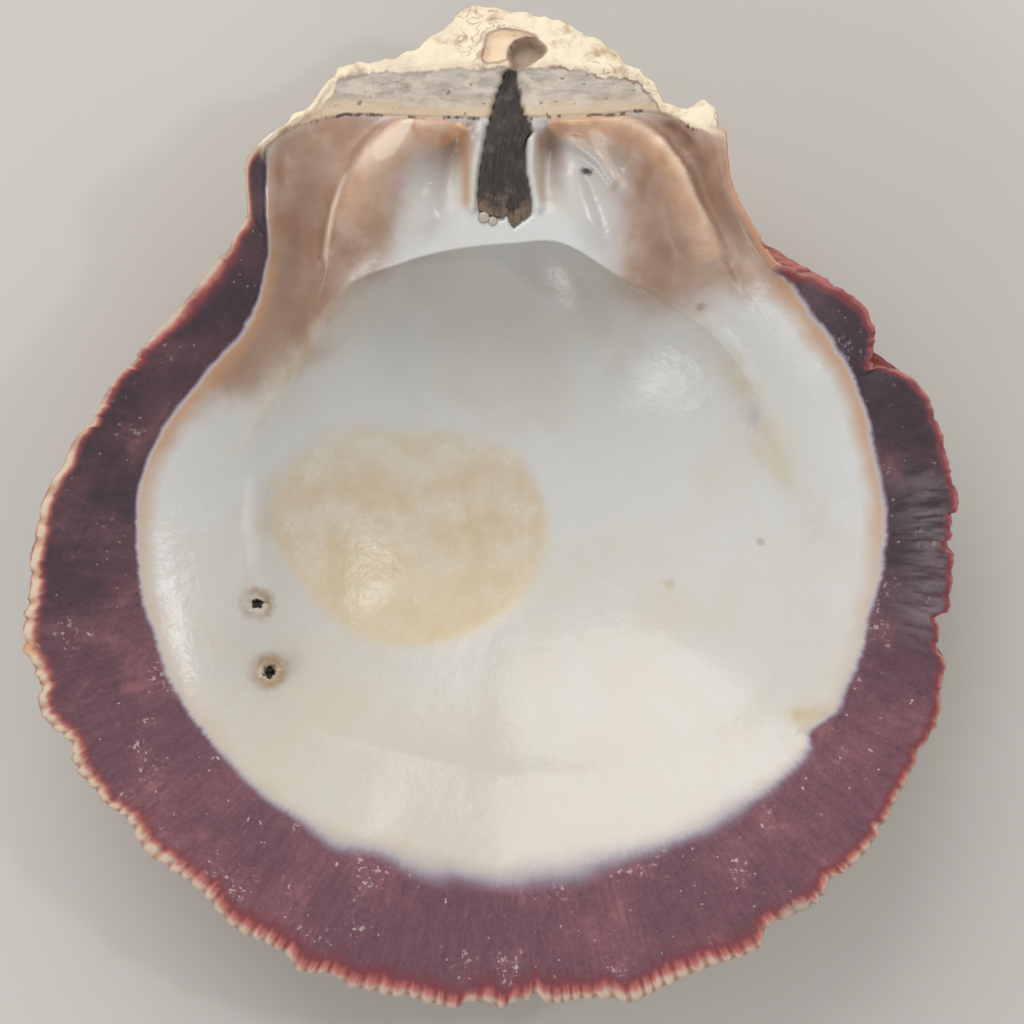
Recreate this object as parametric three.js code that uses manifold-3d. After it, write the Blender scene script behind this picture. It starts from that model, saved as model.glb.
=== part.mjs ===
// The upper valve of a large spiny oyster, lying on its rounded back with the hollow side up.
// Millimetres. +Z is up, +Y points to the hinge, and the origin is the middle of the worn spot on
// the back that the valve rests on. The valve is drawn about the eye of its bowl, a point in the
// plane of its margin, and the finished group is set down as it settles: the back is deepest
// towards the hinge, so the hinge side comes to rest a little higher than the free margin.

import * as THREE from 'three';
import { mergeVertices } from 'three/addons/utils/BufferGeometryUtils.js';
import Module from 'manifold-3d';

const wasm = await Module();
wasm.setup();

// Heights and depths, measured from the plane of the margin.
const RIM_HEIGHT = 35.8; // plane of the margin above the resting spot
const BOWL_DEPTH = 28; // deepest point of the hollow
const EDGE_THICKNESS = 3; // of the margin's blunt edge
const BAND_DEPTH = 2.8; // inner border of the dark margin band
const RIM_INSET = 1; // of the rounded edge, in plan
const HINGE_LINE_DEPTH = 0.8;
const CARDINAL_DROP = 6.5; // outer edge of the striped strip behind the hinge line
const PLATE_LIP_DEPTH = 4; // overhanging front edge of the hinge plate
const SHELF_DEPTH = 11.5; // inner border of the smooth shelf inside the band
const SHELF_BEND = 1.35; // above 1, the shelf is flatter at its outer border
const LEAST_BAND = 1.6; // narrowest the band gets, beside the ears

// Bearings in degrees between which the hinge and its overhanging plate fade in and out again.
const HINGE_FADE = [44, 58, 124, 140];
const PLATE_FADE = [46, 80, 102, 136];

// Where the back of the hinge falls away behind the ears.
const EAR_Y = 64;
const BACK_SLOPE = 0.56;

// The worn resting spot, seen from the eye of the bowl, and how far the hinge side is tipped up.
const REST_SPOT = [-3.5, 4];
const SETTLE_TILT = 4.6; // degrees

// The back grows from the beak: each earlier margin is the present one, shrunk towards the beak
// and tipped about the hinge line.
const BEAK = new THREE.Vector3(-0.7, 83, -15);
const TIP_BACK = 0.76; // radians from the present margin to the first one
const TIP_BEND = 1.1; // above 1, the back is flatter near the margin
const SMOOTHING = 14; // degrees over which old margins even out the present one
const OVERHANG = 1; // most that an even margin stands out beyond the present one
const SLOPE_STEP = 0.02; // radians or share of growth, for directions on the back
const GROWTH_RINGS = [0.975, 0.93, 0.9, 0.82, 0.75, 0.72, 0.62, 0.52, 0.42, 0.32, 0.22, 0.1];
const THIN_OUT = 0.3; // rings before this stage have half as many columns as the one after them
const LEDGES = [0.9, 0.72]; // growth pauses that stand out as steps
const LEDGE_HEIGHT = 0.9;
const RIB_HEIGHT = 0.8;
const RIB_FADE = [0.3, 0.85]; // stage of growth from which ribs rise, and at which they are full
const RIB_ROOM = [0.8, 3]; // sideways room below which there are no ribs, and with which they are full
const SCALLOP = 0.6; // in and out of the toothed edge

// Spines in rows down the back, by bearing in degrees, shorter towards the beak where they are worn.
const SPINE_ROWS = [-176, -158, -141, -125, -110, -95, -80, -65, -49, -32, -14, 6];
const SPINE_GROWTH = [0.95, 0.86, 0.77, 0.68, 0.58];
const SPINE_LENGTH = 5;
const SPINE_STUMP = 1; // length where a spine is worn away
const SPINE_FADE = [0.2, 0.95]; // stages of growth between which spines lengthen
const SPINE_RADIUS = 1.5;
const SPINE_SIDES = 4;

// The dried ligament in its groove: distance to the hinge, left and right edge, top.
const LIGAMENT = [
  [76, -1.5, 0.5, -5.6],
  [71.5, -3, 1, -3],
  [67.5, -3.8, 2.5, -1.2],
  [61.5, -4.5, 2.3, -1.5],
  [56, -5, 2.8, -2.1],
  [52, -5.4, 3.4, -2.8],
  [50, -2.5, 2.4, -3.3],
];
const LIGAMENT_THICKNESS = 2.4;
const LIGAMENT_CROWN = 0.4; // height of its middle above its sides
const GROOVE_HEADROOM = 6; // the groove is cut this far above the ligament
const GAP = 0.3;

// Plan outlines about the eye of the bowl, clockwise from the beak.
const MARGIN = [
  [-7.5, 88], [1, 87.5], [8.5, 86], [16.5, 80.5], [23, 75], [28.5, 69.5], [32, 71.5], [34, 67],
  [35.5, 61], [36.5, 56.5], [39, 51.5], [44.5, 44], [51.5, 41.5], [56.5, 38.5], [59, 35], [60, 32],
  [59.5, 27], [63.5, 26.5], [68, 23], [70, 18], [72, 12], [73.5, 5], [73, -4.5], [72, -13],
  [70.5, -17], [71.5, -23], [70.5, -30.5], [66.5, -39], [60, -51.5], [53, -58.5], [42, -66.5],
  [38.5, -70], [29, -73.5], [19.5, -78], [8, -77.5], [-1.5, -78.5], [-13.5, -78], [-27, -75],
  [-36.5, -71], [-47.5, -63.5], [-57.5, -55.5], [-64.5, -47], [-73, -37.5], [-78, -29],
  [-80.5, -19.5], [-79.5, -9.5], [-78.5, 0.5], [-76, 8], [-70, 17.5], [-65.5, 25], [-58, 33.5],
  [-50.5, 41.5], [-45, 50], [-43, 58.5], [-40.5, 64.5], [-32, 72.5], [-28.5, 77.5], [-18, 80],
];
const BAND_BORDER = [
  [0, 68.5], [14.5, 69], [23, 69.5], [29.5, 67], [34, 64.5], [35, 60.5], [39, 51], [44, 43.5],
  [53, 31.5], [58, 23.5], [61, 12], [62.5, 0], [61, -11], [56.5, -24.5], [49, -33.5], [49.5, -37.5],
  [44.5, -43], [34.5, -50.5], [25.5, -54.5], [10.5, -58], [-2, -59.5], [-12, -57.5], [-20.5, -54.5],
  [-29.5, -52.5], [-39, -47], [-47.5, -39.5], [-56, -27], [-61, -14], [-63, -1.5], [-61, 11],
  [-53.5, 23], [-44, 34.5], [-41, 44.5], [-41, 54.5], [-40.5, 63], [-35, 67], [-27, 69], [-13.5, 68.5],
];
const BOWL_MOUTH = [
  [0, 47.5], [8.5, 47.5], [19, 41.5], [25, 39.5], [35, 33], [42.5, 22.5], [47, 11], [48.5, -1.5],
  [47, -15], [42.5, -27], [33, -34.5], [21.5, -39], [10.5, -41.5], [0, -42], [-9.5, -40],
  [-22.5, -37], [-34.5, -32], [-42, -24], [-44.5, -12.5], [-45.5, -1.5], [-44.5, 8.5], [-41.5, 17.5],
  [-35, 30], [-28, 40.5], [-18, 44.5], [-9.5, 46.5],
];

// Ridges and grooves of the hinge plate: path in plan, half width, height at its two ends.
const HINGE_RELIEF = [
  {
    path: [[-8, 66.5], [-16.5, 67], [-21, 64], [-26, 58.5], [-31, 48]], // left tooth
    halfWidth: 2.6,
    heights: [4, 1.2],
  },
  { path: [[-19, 60], [-23, 52], [-27, 44]], halfWidth: 4.5, heights: [1.4, 0.4] }, // its body
  {
    path: [[4.5, 66.5], [14, 67], [19, 67], [28, 60.5], [31.5, 53.5], [34.5, 46]], // right tooth
    halfWidth: 2.4,
    heights: [3.6, 1.4],
  },
  { path: [[21, 60], [24, 52], [26, 44]], halfWidth: 4.8, heights: [1.4, 0.4] }, // its body
  { path: [[-9.2, 64.5], [-10, 59], [-12.5, 50]], halfWidth: 2.4, heights: [-5, -1] }, // left socket
  { path: [[6.8, 64.5], [7, 59], [9.5, 50]], halfWidth: 2.4, heights: [-5, -1] }, // right socket
  { path: [[-29.5, 63], [-35, 55], [-37, 44.5]], halfWidth: 2.6, heights: [-1.4, -1] }, // left ear
  { path: [[29.5, 64.5], [32.5, 60.5], [38.5, 46.5]], halfWidth: 1.8, heights: [-2, -1] }, // right ear
  { path: [[-6.3, 66], [-6.3, 54.5]], halfWidth: 1.1, heights: [1.2, 0.9] }, // left of the ligament
  { path: [[4.2, 66], [4.4, 54.5]], halfWidth: 1.1, heights: [1.2, 0.9] }, // right of the ligament
];

// Wall of the bowl, by share of the way from its mouth to its eye. Under the hinge plate the wall
// first runs back, which leaves a hollow under the plate.
const WALL_STEPS = [0.07, 0.18, 0.33, 0.52, 0.75];
const WALL_CURVE = 2.3; // above 1, the wall falls fastest at the mouth
const UNDERCUT = 0.34; // of the mouth's radius
const UNDERCUT_SHIFT = 0.75; // below 1, the undercut is widest near the mouth
const WHOLE_COLUMN_STEPS = 2; // the next has half as many columns, and the last ones a quarter

// Holes: two that borers left in the shelf, and the hollow at the beak with its two lobes.
const BORE_HOLES = [[-43, -12.5], [-41, -24]];
const BORE_RADIUS = 1.1;
const BORE_LENGTH = 12;
const BORE_SIDES = 8;
const BEAK_HOLLOWS = [
  { centre: [2.4, 80.2, -8], radii: [2.8, 3.1, 7] },
  { centre: [-2.7, 81, -8], radii: [2, 2.4, 3.5] },
];
const HOLLOW_SIDES = 12;
const HOLLOW_RINGS = 8;

const { lerp, smoothstep, degToRad, radToDeg } = THREE.MathUtils;

const SAMPLES_PER_CORNER = 10;

// Radius of a closed plan outline as a function of bearing, in radians.
function radiusByBearing(points) {
  const corners = points.map(([x, y]) => new THREE.Vector3(x, y, 0));
  const curve = new THREE.CatmullRomCurve3(corners, true, 'catmullrom', 0.5);
  const samples = curve.getPoints(SAMPLES_PER_CORNER * points.length).slice(1)
    .map((p) => [Math.atan2(p.y, p.x), Math.hypot(p.x, p.y)])
    .sort((a, b) => a[0] - b[0]);
  const first = samples[0];
  const last = samples[samples.length - 1];
  samples.unshift([last[0] - 2 * Math.PI, last[1]]);
  samples.push([first[0] + 2 * Math.PI, first[1]]);
  return (bearing) => {
    const turned = Math.atan2(Math.sin(bearing), Math.cos(bearing));
    const after = samples.findIndex((sample) => sample[0] > turned);
    const [b0, r0] = samples[after - 1];
    const [b1, r1] = samples[after];
    return lerp(r0, r1, (turned - b0) / (b1 - b0));
  };
}

const marginRadius = radiusByBearing(MARGIN);
const borderCurve = radiusByBearing(BAND_BORDER);
const borderRadius = (bearing) => Math.min(borderCurve(bearing), marginRadius(bearing) - LEAST_BAND);
const mouthRadius = radiusByBearing(BOWL_MOUTH);

const polar = (bearing, radius, z) =>
  new THREE.Vector3(radius * Math.cos(bearing), radius * Math.sin(bearing), z);

// 0 outside a span of bearings, 1 inside it, with a fade at each end.
function shareBetween(bearing, [from, full, fall, to]) {
  const degrees = THREE.MathUtils.euclideanModulo(radToDeg(bearing), 360);
  return smoothstep(degrees, from, full) * (1 - smoothstep(degrees, fall, to));
}

const hingeShare = (bearing) => shareBetween(bearing, HINGE_FADE);
const plateShare = (bearing) => shareBetween(bearing, PLATE_FADE);

// The resting plane under the tipped valve.
const restHeight = (y) => -RIM_HEIGHT - Math.tan(degToRad(SETTLE_TILT)) * (y - REST_SPOT[1]);

const backDrop = (y) => -BACK_SLOPE * Math.max(0, y - EAR_Y);

// Bearings of the columns: close together along the hinge, wider along the free margin.
const HINGE_FROM = 52;
const HINGE_TO = 130;
const HINGE_COLUMNS = 44;
const MARGIN_COLUMNS = 88;
const bearings = [];
for (let i = 0; i < MARGIN_COLUMNS; i++) {
  bearings.push(degToRad(lerp(HINGE_TO, HINGE_FROM + 360, i / MARGIN_COLUMNS) - 360));
}
for (let i = 0; i < HINGE_COLUMNS; i++) {
  bearings.push(degToRad(lerp(HINGE_FROM, HINGE_TO, i / HINGE_COLUMNS)));
}
const isRib = (column) => column < MARGIN_COLUMNS && column % 2 === 0;

const RELIEF_END = 0.8; // share of the plate's depth at which its ridges begin to fade

// Height of a ridge or groove at a plan point.
function ridgeHeight(x, y, { path, halfWidth, heights }) {
  const point = new THREE.Vector2(x, y);
  const lengths = path.slice(1).map((end, i) => Math.hypot(end[0] - path[i][0], end[1] - path[i][1]));
  const total = lengths.reduce((sum, length) => sum + length, 0);
  let nearest = Infinity;
  let share = 0;
  let before = 0;
  lengths.forEach((length, i) => {
    const start = new THREE.Vector2(...path[i]);
    const along = new THREE.Vector2(...path[i + 1]).sub(start).divideScalar(length);
    const reach = THREE.MathUtils.clamp(point.clone().sub(start).dot(along), 0, length);
    const distance = start.addScaledVector(along, reach).distanceTo(point);
    if (distance < nearest) {
      nearest = distance;
      share = (before + reach) / total;
    }
    before += length;
  });
  return lerp(heights[0], heights[1], share) * Math.exp(-((nearest / halfWidth) ** 2));
}

const hingeRelief = (x, y) => HINGE_RELIEF.reduce((sum, ridge) => sum + ridgeHeight(x, y, ridge), 0);

// Loops of the hollow side, from the edge of the margin to the mouth of the bowl.
function edgeLoop(bearing, column) {
  const scallop = column < MARGIN_COLUMNS ? (isRib(column) ? SCALLOP : -SCALLOP) : 0;
  const edge = polar(bearing, marginRadius(bearing) + scallop, 0);
  edge.z = backDrop(edge.y) - EDGE_THICKNESS / 2;
  return edge;
}

function rimLoop(bearing) {
  const rim = polar(bearing, marginRadius(bearing) - RIM_INSET, 0);
  rim.z = backDrop(rim.y);
  return rim;
}

const CRUST_SHARE = 0.42; // of the way from the edge to the hinge line, beside the beak
const FRINGE_SHARE = 0.18;
const CRUST_HALF_WIDTH = 14;

function fringeLoop(bearing) {
  const hinge = hingeShare(bearing);
  const outer = marginRadius(bearing);
  const offCentre = (outer * Math.cos(bearing)) / CRUST_HALF_WIDTH;
  const share = FRINGE_SHARE + hinge * CRUST_SHARE * Math.exp(-(offCentre ** 2));
  const fringe = polar(bearing, lerp(outer, borderRadius(bearing), share), 0);
  fringe.z = hinge * Math.max(-CARDINAL_DROP, backDrop(fringe.y));
  return fringe;
}

function borderLoop(bearing) {
  return polar(bearing, borderRadius(bearing), -lerp(BAND_DEPTH, HINGE_LINE_DEPTH, hingeShare(bearing)));
}

const mouthDepth = (bearing) => lerp(SHELF_DEPTH, PLATE_LIP_DEPTH, plateShare(bearing));

function shelfLoop(bearing, share) {
  const border = borderLoop(bearing);
  const bend = lerp(SHELF_BEND, 1, hingeShare(bearing));
  const shelf = polar(bearing, lerp(borderRadius(bearing), mouthRadius(bearing), share), 0);
  shelf.z = lerp(border.z, -mouthDepth(bearing), share ** bend);
  const fade = (1 - smoothstep(share, RELIEF_END, 1)) * hingeShare(bearing);
  shelf.z += hingeRelief(shelf.x, shelf.y) * fade;
  return shelf;
}

function wallLoop(bearing, share) {
  const undercut = UNDERCUT * plateShare(bearing) * Math.sin(Math.PI * share ** UNDERCUT_SHIFT);
  const radius = mouthRadius(bearing) * (1 - share + undercut);
  const down = 1 - (1 - share) ** WALL_CURVE;
  return polar(bearing, radius, -lerp(mouthDepth(bearing), BOWL_DEPTH, down));
}

// The even margin that the back follows, and a point of the back at a stage of growth.
function evenMargin(bearing) {
  const halfWindow = degToRad(SMOOTHING);
  const offsets = [-1, -0.75, -0.5, -0.25, 0, 0.25, 0.5, 0.75, 1];
  const radii = offsets.map((offset) => marginRadius(bearing + offset * halfWindow));
  const mean = radii.reduce((sum, radius) => sum + radius, 0) / radii.length;
  const even = polar(bearing, Math.min(mean, marginRadius(bearing) + OVERHANG), 0);
  even.z = backDrop(even.y) - EDGE_THICKNESS;
  return even;
}

function backPoint(bearing, growth) {
  const arm = evenMargin(bearing).sub(BEAK).multiplyScalar(growth);
  const tip = TIP_BACK * Math.max(0, 1 - growth) ** TIP_BEND;
  return arm.applyAxisAngle(new THREE.Vector3(1, 0, 0), tip).add(BEAK);
}

function backNormal(bearing, growth) {
  const across = backPoint(bearing + SLOPE_STEP, growth).sub(backPoint(bearing - SLOPE_STEP, growth));
  const along = backPoint(bearing, growth).sub(backPoint(bearing, growth - SLOPE_STEP));
  return along.cross(across).negate().normalize();
}

// Sideways room that a rib has on the back: none where the margin runs straight from the beak.
function ribRoom(bearing, growth) {
  const step = degToRad((360 - HINGE_TO + HINGE_FROM) / MARGIN_COLUMNS);
  const ray = backPoint(bearing, growth).sub(BEAK).normalize();
  return backPoint(bearing + step, growth).sub(backPoint(bearing, growth)).cross(ray).length();
}

function backLoop(bearing, growth, column) {
  const point = backPoint(bearing, growth);
  const fade = smoothstep(growth, ...RIB_FADE) * smoothstep(ribRoom(bearing, growth), ...RIB_ROOM);
  let swell = column < MARGIN_COLUMNS ? (isRib(column) ? RIB_HEIGHT : -RIB_HEIGHT) * fade : 0;
  swell += LEDGES.includes(growth) ? LEDGE_HEIGHT * fade : 0;
  point.addScaledVector(backNormal(bearing, growth), swell);
  point.z = Math.max(point.z, restHeight(point.y));
  return point;
}

// A closed skin through a row of loops, with a fan to a pole at each end.
class Skin {
  constructor() {
    this.positions = [];
    this.triangles = [];
  }

  point(vector) {
    this.positions.push(vector.x, vector.y, vector.z);
    return this.positions.length / 3 - 1;
  }

  loop(vectors) {
    return vectors.map((vector) => this.point(vector));
  }

  // Joins a loop to the next one, which has as many points or half as many.
  join(loop, next) {
    const count = loop.length;
    const ratio = count / next.length;
    for (let i = 0; i < count; i++) {
      const a = loop[i];
      const b = loop[(i + 1) % count];
      const c = next[Math.floor(i / ratio)];
      const d = next[Math.floor(((i + 1) % count) / ratio)];
      this.triangles.push(a, b, d);
      if (c !== d) this.triangles.push(a, d, c);
    }
  }

  cap(loop, pole) {
    loop.forEach((a, i) => this.triangles.push(a, loop[(i + 1) % loop.length], pole));
  }

  geometry() {
    const geometry = new THREE.BufferGeometry();
    geometry.setAttribute('position', new THREE.Float32BufferAttribute(this.positions, 3));
    geometry.setIndex(this.triangles);
    return geometry;
  }
}

// A closed geometry as a solid that can be joined and cut, and back again.
function solidOf(geometry) {
  const bare = geometry.clone();
  bare.deleteAttribute('normal');
  bare.deleteAttribute('uv');
  const merged = mergeVertices(bare, 1e-5);
  return new wasm.Manifold(new wasm.Mesh({
    numProp: 3,
    vertProperties: new Float32Array(merged.attributes.position.array),
    triVerts: new Uint32Array(merged.index.array),
  }));
}

function geometryOf(solid) {
  const mesh = solid.getMesh();
  const geometry = new THREE.BufferGeometry();
  geometry.setAttribute('position', new THREE.Float32BufferAttribute(mesh.vertProperties, 3));
  geometry.setIndex(Array.from(mesh.triVerts));
  geometry.computeVertexNormals();
  return geometry;
}

const SHELF_STEPS = 8;
const everySecond = (list) => list.filter((_, i) => i % 2 === 0);

function valveSkin() {
  const skin = new Skin();
  const edge = skin.loop(bearings.map(edgeLoop));

  const inside = [rimLoop, fringeLoop, borderLoop];
  for (let i = 1; i <= SHELF_STEPS; i++) inside.push((bearing) => shelfLoop(bearing, i / SHELF_STEPS));
  for (const share of WALL_STEPS.slice(0, WHOLE_COLUMN_STEPS)) {
    inside.push((bearing) => wallLoop(bearing, share));
  }
  let previous = edge;
  for (const loopAt of inside) {
    const next = skin.loop(bearings.map(loopAt));
    skin.join(previous, next);
    previous = next;
  }
  const halfBearings = everySecond(bearings);
  const quarterBearings = everySecond(halfBearings);
  WALL_STEPS.slice(WHOLE_COLUMN_STEPS).forEach((share, i) => {
    const next = skin.loop((i === 0 ? halfBearings : quarterBearings).map((b) => wallLoop(b, share)));
    skin.join(previous, next);
    previous = next;
  });
  skin.cap(previous, skin.point(new THREE.Vector3(0, 0, -BOWL_DEPTH)));

  previous = edge.slice().reverse();
  let columns = bearings.map((bearing, column) => ({ bearing, column })).reverse();
  for (const growth of GROWTH_RINGS) {
    if (growth < THIN_OUT) columns = everySecond(columns);
    const next = skin.loop(columns.map(({ bearing, column }) => backLoop(bearing, growth, column)));
    skin.join(previous, next);
    previous = next;
  }
  skin.cap(previous, skin.point(BEAK));
  return skin.geometry();
}

// A spine: a short cone that leans from the back towards the margin.
function spineSolids() {
  const spines = [];
  for (const bearing of SPINE_ROWS.map(degToRad)) {
    for (const growth of SPINE_GROWTH) {
      const root = backPoint(bearing, growth);
      if (root.z < restHeight(root.y) + SPINE_LENGTH) continue;
      const outward = backNormal(bearing, growth);
      const toMargin = root.clone().sub(backPoint(bearing, growth - SLOPE_STEP)).normalize();
      const lean = outward.clone().add(toMargin).normalize();
      const length = SPINE_LENGTH * smoothstep(growth, ...SPINE_FADE) + SPINE_STUMP;
      const cone = new THREE.ConeGeometry(SPINE_RADIUS, length, SPINE_SIDES);
      cone.translate(0, length / 2, 0);
      cone.applyQuaternion(new THREE.Quaternion().setFromUnitVectors(new THREE.Vector3(0, 1, 0), lean));
      cone.translate(root.x, root.y, root.z);
      spines.push(solidOf(cone));
    }
  }
  return spines;
}

function boreHoles() {
  return BORE_HOLES.map(([x, y]) => {
    const bore = new THREE.CylinderGeometry(BORE_RADIUS, BORE_RADIUS, BORE_LENGTH, BORE_SIDES);
    bore.rotateX(Math.PI / 2);
    bore.translate(x, y, -SHELF_DEPTH);
    return solidOf(bore);
  });
}

function beakHollows() {
  return BEAK_HOLLOWS.map(({ centre, radii }) => {
    const hollow = new THREE.SphereGeometry(1, HOLLOW_SIDES, HOLLOW_RINGS);
    hollow.scale(...radii);
    hollow.translate(...centre);
    return solidOf(hollow);
  });
}

// A bar along the ligament's groove, grown sideways and downwards and topped up by given amounts.
function ligamentBar(sideways, downwards, upwards) {
  const skin = new Skin();
  const loops = LIGAMENT.map(([y, left, right, top], i) => {
    const lengthwise = i === 0 ? sideways : i === LIGAMENT.length - 1 ? -sideways : 0;
    const bottom = top - LIGAMENT_THICKNESS - downwards;
    const crown = top + upwards;
    return skin.loop([
      new THREE.Vector3(left - sideways, y + lengthwise, bottom),
      new THREE.Vector3(right + sideways, y + lengthwise, bottom),
      new THREE.Vector3(right + sideways, y + lengthwise, crown - LIGAMENT_CROWN),
      new THREE.Vector3((left + right) / 2, y + lengthwise, crown),
      new THREE.Vector3(left - sideways, y + lengthwise, crown - LIGAMENT_CROWN),
    ]);
  });
  const middle = (i, shift) => {
    const [y, left, right, top] = LIGAMENT[i];
    return skin.point(new THREE.Vector3((left + right) / 2, y + shift, top - LIGAMENT_THICKNESS / 2));
  };
  skin.cap(loops[0].slice().reverse(), middle(0, sideways));
  for (let i = 1; i < loops.length; i++) skin.join(loops[i - 1], loops[i]);
  skin.cap(loops[loops.length - 1], middle(LIGAMENT.length - 1, -sideways));
  return skin.geometry();
}

function valveGeometry() {
  const cuts = [...boreHoles(), ...beakHollows(), solidOf(ligamentBar(GAP, GAP, GROOVE_HEADROOM))];
  let valve = solidOf(valveSkin());
  for (const spine of spineSolids()) valve = valve.add(spine);
  for (const cut of cuts) valve = valve.subtract(cut);
  return geometryOf(valve);
}

const valve = new THREE.Mesh(
  valveGeometry(),
  new THREE.MeshStandardMaterial({ color: 0xd6d0c4, roughness: 0.35, metalness: 0 }),
);
valve.name = 'valve';

const ligament = new THREE.Mesh(
  ligamentBar(0, 0, 0),
  new THREE.MeshStandardMaterial({ color: 0x463a30, roughness: 0.8, metalness: 0 }),
);
ligament.name = 'ligament';

const grown = new THREE.Group();
grown.add(valve, ligament);
grown.position.set(-REST_SPOT[0], -REST_SPOT[1], RIM_HEIGHT);

const shell = new THREE.Group();
shell.add(grown);
shell.rotation.x = degToRad(SETTLE_TILT);

export default shell;
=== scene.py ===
# The upper valve of a large spiny oyster, lying on its rounded back with the hollow side up.
# It is drawn in millimetres about the eye of its bowl, in the plane of its margin, with +Y to the
# hinge and +Z out of the hollow, and each piece is then set down as the CAD part settles.
import math
from types import SimpleNamespace

import bmesh
import bpy
import numpy as np
from mathutils import Matrix, Vector


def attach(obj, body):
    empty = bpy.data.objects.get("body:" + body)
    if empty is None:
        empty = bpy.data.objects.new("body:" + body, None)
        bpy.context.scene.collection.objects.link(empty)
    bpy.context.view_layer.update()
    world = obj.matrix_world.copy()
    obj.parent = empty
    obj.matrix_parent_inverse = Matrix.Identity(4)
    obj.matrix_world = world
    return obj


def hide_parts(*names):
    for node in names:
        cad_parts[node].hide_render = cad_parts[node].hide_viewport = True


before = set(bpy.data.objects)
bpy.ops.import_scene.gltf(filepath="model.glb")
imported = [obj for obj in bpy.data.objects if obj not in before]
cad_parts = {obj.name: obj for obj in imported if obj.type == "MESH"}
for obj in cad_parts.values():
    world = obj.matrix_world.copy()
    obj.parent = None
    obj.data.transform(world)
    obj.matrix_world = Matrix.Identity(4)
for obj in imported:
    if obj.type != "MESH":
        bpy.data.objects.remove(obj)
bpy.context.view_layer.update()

# The valve. One piece of calcite shell with a porcelain lining, grown outwards from the beak in
# layers: a dark crystalline band at the margin, tan callus on the hinge plate, and a ribbed, spiny
# back that is worn and crusted towards the beak.
RIM_HEIGHT = 35.8  # plane of the margin above the resting spot
REST_SPOT = (-3.5, 4.0)
SETTLE_TILT = math.radians(4.6)
BOWL_DEPTH = 28.0
EDGE_THICKNESS = 3.0
BAND_DEPTH = 2.8  # inner border of the dark band, below the margin
HINGE_LINE_DEPTH = 0.8
PLATE_LIP_DEPTH = 4.0  # overhanging front edge of the hinge plate
SHELF_DEPTH = 11.5  # inner border of the smooth shelf inside the band
SHELF_BEND = 1.35  # above 1, the shelf is flatter at its outer border
LEAST_BAND = 1.6  # narrowest the band gets, beside the ears
EAR_Y = 64.0  # behind the ears the hinge falls away
HINGE_SPAN = (44, 58, 124, 140)  # bearings in degrees where the hinge begins, is full, fades and ends
PLATE_SPAN = (46, 80, 102, 136)
BACK_SLOPE = 0.56
CRUST_TOP = 77.6  # where the crust begins behind the hinge, at the middle
CRUST_FALL = (0.0027, 0.0055)  # how it draws nearer to the hinge line towards the left and right ear
CRUST_EAR = 25.5  # the tip of the right ear is crusted all over
CRUST_STEP = 0.9

# Plan outlines, clockwise from the beak.
MARGIN = [
    (-7.3, 88.7), (1, 87.8), (8.5, 86.1), (12.3, 83.5), (16.7, 80.7), (23.1, 75.4), (25.7, 71.6),
    (28.7, 70), (29.8, 70.5), (32.1, 71.8), (33.7, 70.7), (34.2, 67.1), (35.5, 66), (35.8, 61.2),
    (36.6, 56.8), (39.2, 51.6), (42, 47), (44.5, 44), (48.7, 42.9), (51.5, 41.9), (53.6, 40.5),
    (56.5, 38.7), (58.6, 36.7), (59.3, 34.8), (60.3, 32.6), (59.6, 28.8), (59.8, 26.8), (61.1, 27.1),
    (63.7, 26.5), (66.2, 25.2), (68.2, 23), (70.4, 18), (71.5, 14.6), (72, 12.2), (72.7, 8.4),
    (73.7, 6.3), (73.7, 3.1), (72.7, 2.1), (73, -4.3), (72.8, -8.3), (72, -13.8), (70.7, -15.1),
    (70.7, -18.4), (71.7, -22.2), (71, -26.8), (70.5, -31.5), (68.7, -34.6), (66.7, -38.9),
    (63.9, -44.2), (60.1, -51.5), (57.4, -54.6), (53.1, -58.3), (51, -61.1), (46.9, -63.7),
    (42.2, -65.9), (41.1, -69), (38.6, -70.4), (34.6, -71.7), (29, -73.8), (23.8, -76.3),
    (19.4, -78.3), (16.9, -77.5), (11.3, -77.7), (7, -78.3), (3, -77.5), (-1.5, -79.1), (-6.8, -77.8),
    (-9.1, -79.1), (-13.6, -78.3), (-17.4, -77.2), (-20.5, -77), (-23.5, -76.2), (-27, -75.5),
    (-29.6, -73.7), (-35.3, -72.9), (-37.2, -70.4), (-41.4, -68.2), (-45.5, -66.2), (-47.8, -64.2),
    (-51.7, -59.6), (-54.6, -57.5), (-57.8, -55.6), (-61.1, -52.7), (-62.9, -49.2), (-64.7, -47),
    (-67.2, -45.5), (-68.7, -43.4), (-71.2, -40.9), (-73.2, -38.7), (-72.5, -36.9), (-74, -34.1),
    (-76.2, -32.6), (-78.3, -29.3), (-78.8, -25), (-79.5, -21.5), (-81, -19.4), (-80.5, -12.9),
    (-79.8, -9.6), (-79.5, -4), (-78.6, 0.3), (-77.5, 5), (-76.2, 8.1), (-74.3, 10.8), (-72.7, 14.6),
    (-70.4, 17.5), (-68.5, 20.7), (-65.7, 25), (-61.8, 29.6), (-58.3, 33.6), (-55.3, 36.6),
    (-53.5, 38.7), (-51.7, 41), (-49.3, 44), (-46, 48.2), (-43.9, 52), (-44, 56.3), (-44, 60.4),
    (-43, 62.6), (-40.8, 64.9), (-37.6, 67.6), (-34.8, 70), (-32.1, 72.7), (-30.5, 75.8),
    (-28.4, 78.1), (-22.9, 79.1), (-17.9, 80.3), (-12.2, 84.6),
]
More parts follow.
